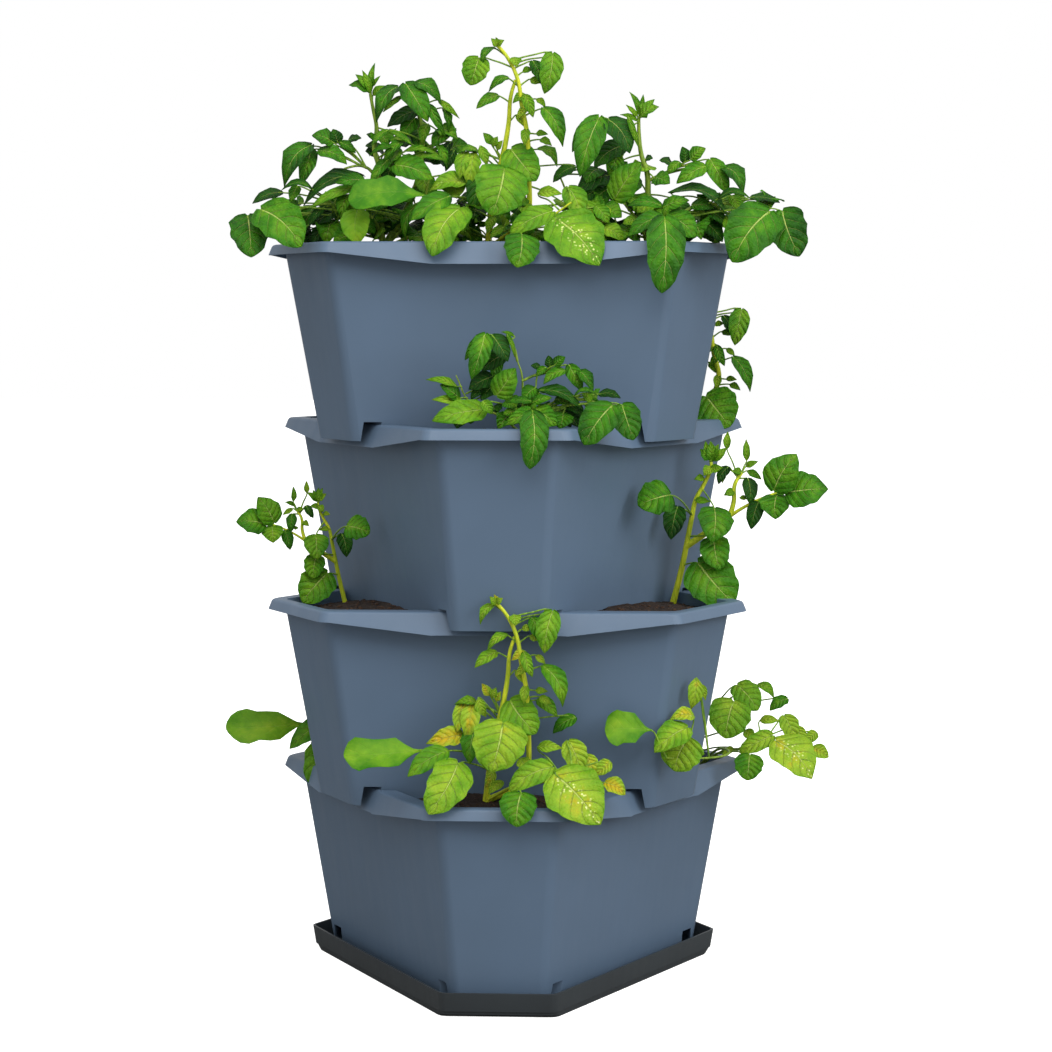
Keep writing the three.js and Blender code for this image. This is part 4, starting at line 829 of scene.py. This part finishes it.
# Where the plants stand, in mm from the middle, and how light their leaves are. Scale is 1 and turn 3
# degrees unless given, mirror -1 swaps left and right, and cut takes off what is below it. Fillers are zones
# of small leaves: how many, where they start and end across, and how low and high they stand.
plants = {
    "plant_1_front": {"kind": "tall", "foot": (-9, -170.8), "tone": 0.68, "stem": "bright"},
    "plant_1_left_back": {"kind": "left", "foot": (-181.4, 92), "scale": 1.1, "tone": 0.66},
    "plant_1_right_back": {"kind": "corner", "foot": (211.8, 60.5), "scale": 0.85, "tone": 0.66},
    "plant_2_left": {
        "kind": "slender", "foot": (-176.2, -34.7), "scale": 0.745, "mirror": -1, "tone": 0.52,
        "stem": "bright",
    },
    "plant_2_right": {
        "kind": "slender", "foot": (177.9, -6.05), "scale": 1.06, "tone": 0.47, "stem": "bright",
    },
    "plant_2_back": {"kind": "slender", "foot": (0, 200.8), "scale": 0.8, "turn": 180, "tone": 0.5},
    "plant_3_front": {
        "kind": "cushion", "foot": (28.6, -194.6), "scale": 0.73, "tone": 0.44,
        "fillers": [(14, -0.45, 0.1, 0.05, 0.3), (8, 0.1, 0.5, 0.05, 0.2)],
    },
    "plant_3_left_back": {
        "kind": "low", "foot": (-181, 103.1), "scale": 0.7, "mirror": -1, "turn": 225, "tone": 0.5,
    },
    "plant_3_right_back": {
        "kind": "crown", "foot": (194, 79.9), "scale": 0.94, "cut": 0.33, "tone": 0.5, "stem": "bright",
    },
    "plant_4_left": {
        "kind": "umbrella", "foot": (-118, -112), "mirror": -1, "tone": 0.42,
        "fillers": [(60, -0.45, 0.62, 0.02, 0.26), (26, -0.32, 0.08, 0.2, 0.6)],
    },
    "plant_4_centre": {
        "kind": "topmost", "foot": (-11, -112), "tone": 0.55, "stem": "bright",
        "fillers": [(24, -0.3, 0.5, 0.02, 0.25)],
    },
    "plant_4_right": {
        "kind": "right", "foot": (157.5, -112), "tone": 0.45,
        "fillers": [(56, -0.45, 0.62, 0.02, 0.24), (12, -0.35, 0, 0.2, 0.42)],
    },
}


def stemPoint(points, height):
    for low, high in zip(points, points[1:]):
        if high.z >= height:
            share = min(max((height - low.z) / (high.z - low.z), 0), 1)
            return low.lerp(high, share)
    return points[-1].copy()


def stemFrom(points, cut):
    above = [i for i, point in enumerate(points) if point[2] > cut]
    if not above:
        return []
    first = above[0]
    if first == 0:
        return points
    start = stemPoint([Vector(point) for point in points], cut)
    return [tuple(start)] + points[first:]


def bendBlade(foot, tip, width, look, tone, turn, chance):
    shape = looks[look]
    leaf = copyOf(next(item for least, item in blanks if width >= least))
    mesh = leaf.data
    along = tip - foot
    length = along.length
    along.normalize()
    tilt = math.radians(shape["tilt"] + chance.uniform(-form["tilt"], form["tilt"]))
    aside = chance.uniform(-form["aside"], form["aside"])
    facing = Vector((aside, -math.cos(tilt), math.sin(tilt)))
    facing.rotate(Euler((0, 0, turn)))
    across = along.cross(facing).normalized()
    out = across.cross(along).normalized()
    phase = chance.uniform(0, form["phase"])
    lopsided = chance.uniform(-form["lopsided"], form["lopsided"])
    places = [(corner.co.x, corner.co.y) for corner in mesh.vertices]
    for corner, (u, s) in zip(mesh.vertices, places):
        half = width / 2 * growth["broaden"] * outlineAt(shape["outline"], s)
        lift = shape["bow"] * length * 4 * s * (1 - s) + shape["fold"] * half * abs(u)
        ripple = math.sin(phase + form["waves"] * s + form["slant"] * u)
        lift += shape["wave"] * half * u * u * ripple
        lift -= shape["curl"] * length * s ** 3
        sway = lopsided * length * math.sin(math.pi * s)
        tooth = form["toothDepth"] * math.sin(phase * 2 + form["teeth"] * s)
        reach = u * half * (1 + tooth)
        back = shape["lobe"] * length * abs(u) * (1 - s) ** form["lobe"]
        corner.co = foot + along * (s * length - back) + across * (reach + sway) + out * lift
    for loop, spot in zip(mesh.loops, mesh.uv_layers.active.data):
        u, s = places[loop.vertex_index]
        spot.uv = ((u + 1) / 2, s)
    shades = {
        "tone": tone + shape["tone"] + chance.uniform(-form["tone"], form["tone"]),
        "veined": shape["veined"],
        "specks": shape["specks"],
    }
    for name, value in shades.items():
        for item in mesh.attributes.new(name, "FLOAT", "POINT").data:
            item.value = value
    lift = shape["bow"] * length * growth["heartLift"]
    return leaf, foot + along * (growth["heart"] * length) + out * lift


def addSpline(curve, points, first, last, slot):
    spline = curve.splines.new("BEZIER")
    spline.material_index = slot
    spline.bezier_points.add(len(points) - 1)
    for i, (knot, point) in enumerate(zip(spline.bezier_points, points)):
        knot.co = point
        knot.radius = first + (last - first) * i / (len(points) - 1)
        knot.handle_left_type = knot.handle_right_type = "AUTO"


# leaves that fill a zone of a plant, each on a stalk from the nearest stem, darkest at the back as painted
# shade
def fillerRows(zone, stems, chance):
    count, first, last, low, high = zone
    below = high + filler["stemsAbove"]
    knots = [(i, point) for i, points in enumerate(stems) for point in points if point[2] < below]
    rows = []
    for i in range(count):
        side = first + (last - first) * (i + chance.random()) / count
        out, up = chance.uniform(*filler["out"]), chance.uniform(low, high)
        lean, rise = chance.uniform(*filler["lean"]), chance.uniform(*filler["rise"])
        look = chance.choice(filler["behind"] if out < 0 else filler["inFront"])
        stem, knot = min(knots, key=lambda item: math.dist(item[1], (side, out, up)))
        tip = (side + lean, out + filler["forward"], max(up + rise, 0))
        spring = max(knot[2], filler["lowestStalk"])
        rows.append((stem, spring, side, out, up, *tip, chance.uniform(*filler["width"]), look))
    return rows


def growPlant(name, values):
    tier = int(name.split("_")[1])
    body = f"tier_{tier}"
    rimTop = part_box(f"pot_{tier}")[1][2]
    chance = random.Random(name)
    stemRows, leafRows = kinds[values["kind"]]
    scale, mirror, cut = values.get("scale", 1), values.get("mirror", 1), values.get("cut", 0)
    turn = math.radians(values.get("turn", growth["turn"]))
    footX, footY = (value * mm for value in values["foot"])

    def place(across, out, up):
        sideways = across * growth["span"] * scale * mirror
        forward = -out * growth["reach"] * scale
        return Vector((
            footX + sideways * math.cos(turn) - forward * math.sin(turn),
            footY + sideways * math.sin(turn) + forward * math.cos(turn),
            rimTop + (up - cut) * growth["span"] * scale,
        ))

    placed = [[place(*point) for point in stemFrom(points, cut)] for points in stemRows]
    ground = placed[0][0].copy()
    ground.z = rimTop + soilHeight(ground.x, ground.y, tier) + growth["soilGap"]
    for points, source in zip(placed, stemRows):
        if points and source[0][2] < max(cut, growth["rooted"]):
            points[0] = ground
    bpy.ops.curve.primitive_bezier_curve_add()
    stems = bpy.context.object
    stems.name = f"{name}_stems"
    curve = stems.data
    curve.splines.clear()
    setAll(curve, dimensions="3D", bevel_depth=1, bevel_resolution=2, resolution_u=5, use_fill_caps=True)
    curve.materials.append(stemMaterials[values.get("stem", "green")])
    curve.materials.append(leafStalk)
    for points, source in zip(placed, stemRows):
        thick = scale if source[-1][2] > growth["tall"] else growth["side"] * scale
        if points:
            addSpline(curve, points, growth["stem"] * thick, growth["stemTip"] * thick, 0)
    leaves, rows = [], list(leafRows)
    for zone in values.get("fillers", []):
        rows += fillerRows(zone, stemRows, chance)
    for stem, at, fx, fo, fu, tx, to, tu, width, look in rows:
        if at <= cut or not placed[stem]:
            continue
        spring = stemPoint(placed[stem], rimTop + (at - cut) * growth["span"] * scale)
        foot, tip = place(fx, fo, fu), place(tx, to, tu)
        wide = width * growth["span"] * scale
        leaf, heart = bendBlade(foot, tip, wide, look, values["tone"], turn, chance)
        leaves.append(leaf)
        middle = spring.lerp(foot, 0.5)
        middle.z += growth["stalkArch"] * (foot - spring).length
        addSpline(curve, [spring, middle, foot, heart], growth["stalk"], growth["stalkTip"], 1)
    showOnly(stems)
    bpy.ops.object.convert(target="MESH")
    bpy.ops.object.shade_smooth()
    stems = bpy.context.object
    dress(stems, body, name)
    showOnly(*leaves)
    bpy.ops.object.join()
    foliage = bpy.context.object
    foliage.name = f"{name}_leaves"
    applyModifier(foliage, "SOLIDIFY", thickness=growth["thickness"], offset=0)
    bpy.ops.object.shade_smooth_by_angle(angle=math.radians(growth["smooth"]))
    dress(foliage, body, name, potatoLeaf)


for plantName, plantValues in plants.items():
    growPlant(plantName, plantValues)
for least, blank in blanks:
    bpy.data.objects.remove(blank)


print("floor and light")
# each lamp has a name, a place, its power and its size
studio = {
    "floor": 40, "floorColour": "#f2f2f0", "bounce": "#8e8e8c", "glow": 0.85, "sky": 0.7,
    "aim": (0, 0, 0.5),
    "lamps": [
        ("topLight", (0.3, -1.9, 2.6), 48, 2.2),
        ("rightLight", (2.6, -2, 1.8), 46, 1.6),
        ("leftLight", (-2.4, -2.2, 1.4), 4, 2),
    ],
}
bpy.ops.mesh.primitive_plane_add(size=studio["floor"], location=(0, 0, 0))
floor = bpy.context.object
floor.name = "studioFloor"
floorMaterial = newMaterial("paleStudioFloor")
rays = addNode(floorMaterial, "LightPath")
paint = addNode(floorMaterial, "BsdfDiffuse", {"Color": linearColour(studio["floorColour"])})
glow = addNode(floorMaterial, "Emission", {"Color": (1, 1, 1, 1), "Strength": studio["glow"]})
clear = addNode(floorMaterial, "AddShader", {0: paint, 1: glow})
bounce = addNode(floorMaterial, "BsdfDiffuse", {"Color": linearColour(studio["bounce"])})
seen = addNode(floorMaterial, "MixShader", {
    0: rays, 1: bounce, 2: clear,
})
addNode(floorMaterial, "OutputMaterial", {"Surface": seen})
floor.data.materials.append(floorMaterial)
for name, place, power, size in studio["lamps"]:
    bpy.ops.object.light_add(type="AREA", location=place)
    lamp = bpy.context.object
    lamp.name = name
    setAll(lamp.data, energy=power, size=size)
    lamp.rotation_euler = (Vector(studio["aim"]) - Vector(place)).to_track_quat("-Z", "Y").to_euler()
world = bpy.data.worlds.new("whiteStudio")
bpy.context.scene.world = world
world.use_nodes = True
world.node_tree.nodes.clear()
skyRays = addNode(world, "LightPath")
skyLight = addNode(world, "Background", {"Color": (1, 1, 1, 1), "Strength": studio["sky"]})
skyWhite = addNode(world, "Background", {"Color": (1, 1, 1, 1), "Strength": 1})
skyMix = addNode(world, "MixShader", {
    0: skyRays, 1: skyLight, 2: skyWhite,
})
addNode(world, "OutputWorld", {"Surface": skyMix})
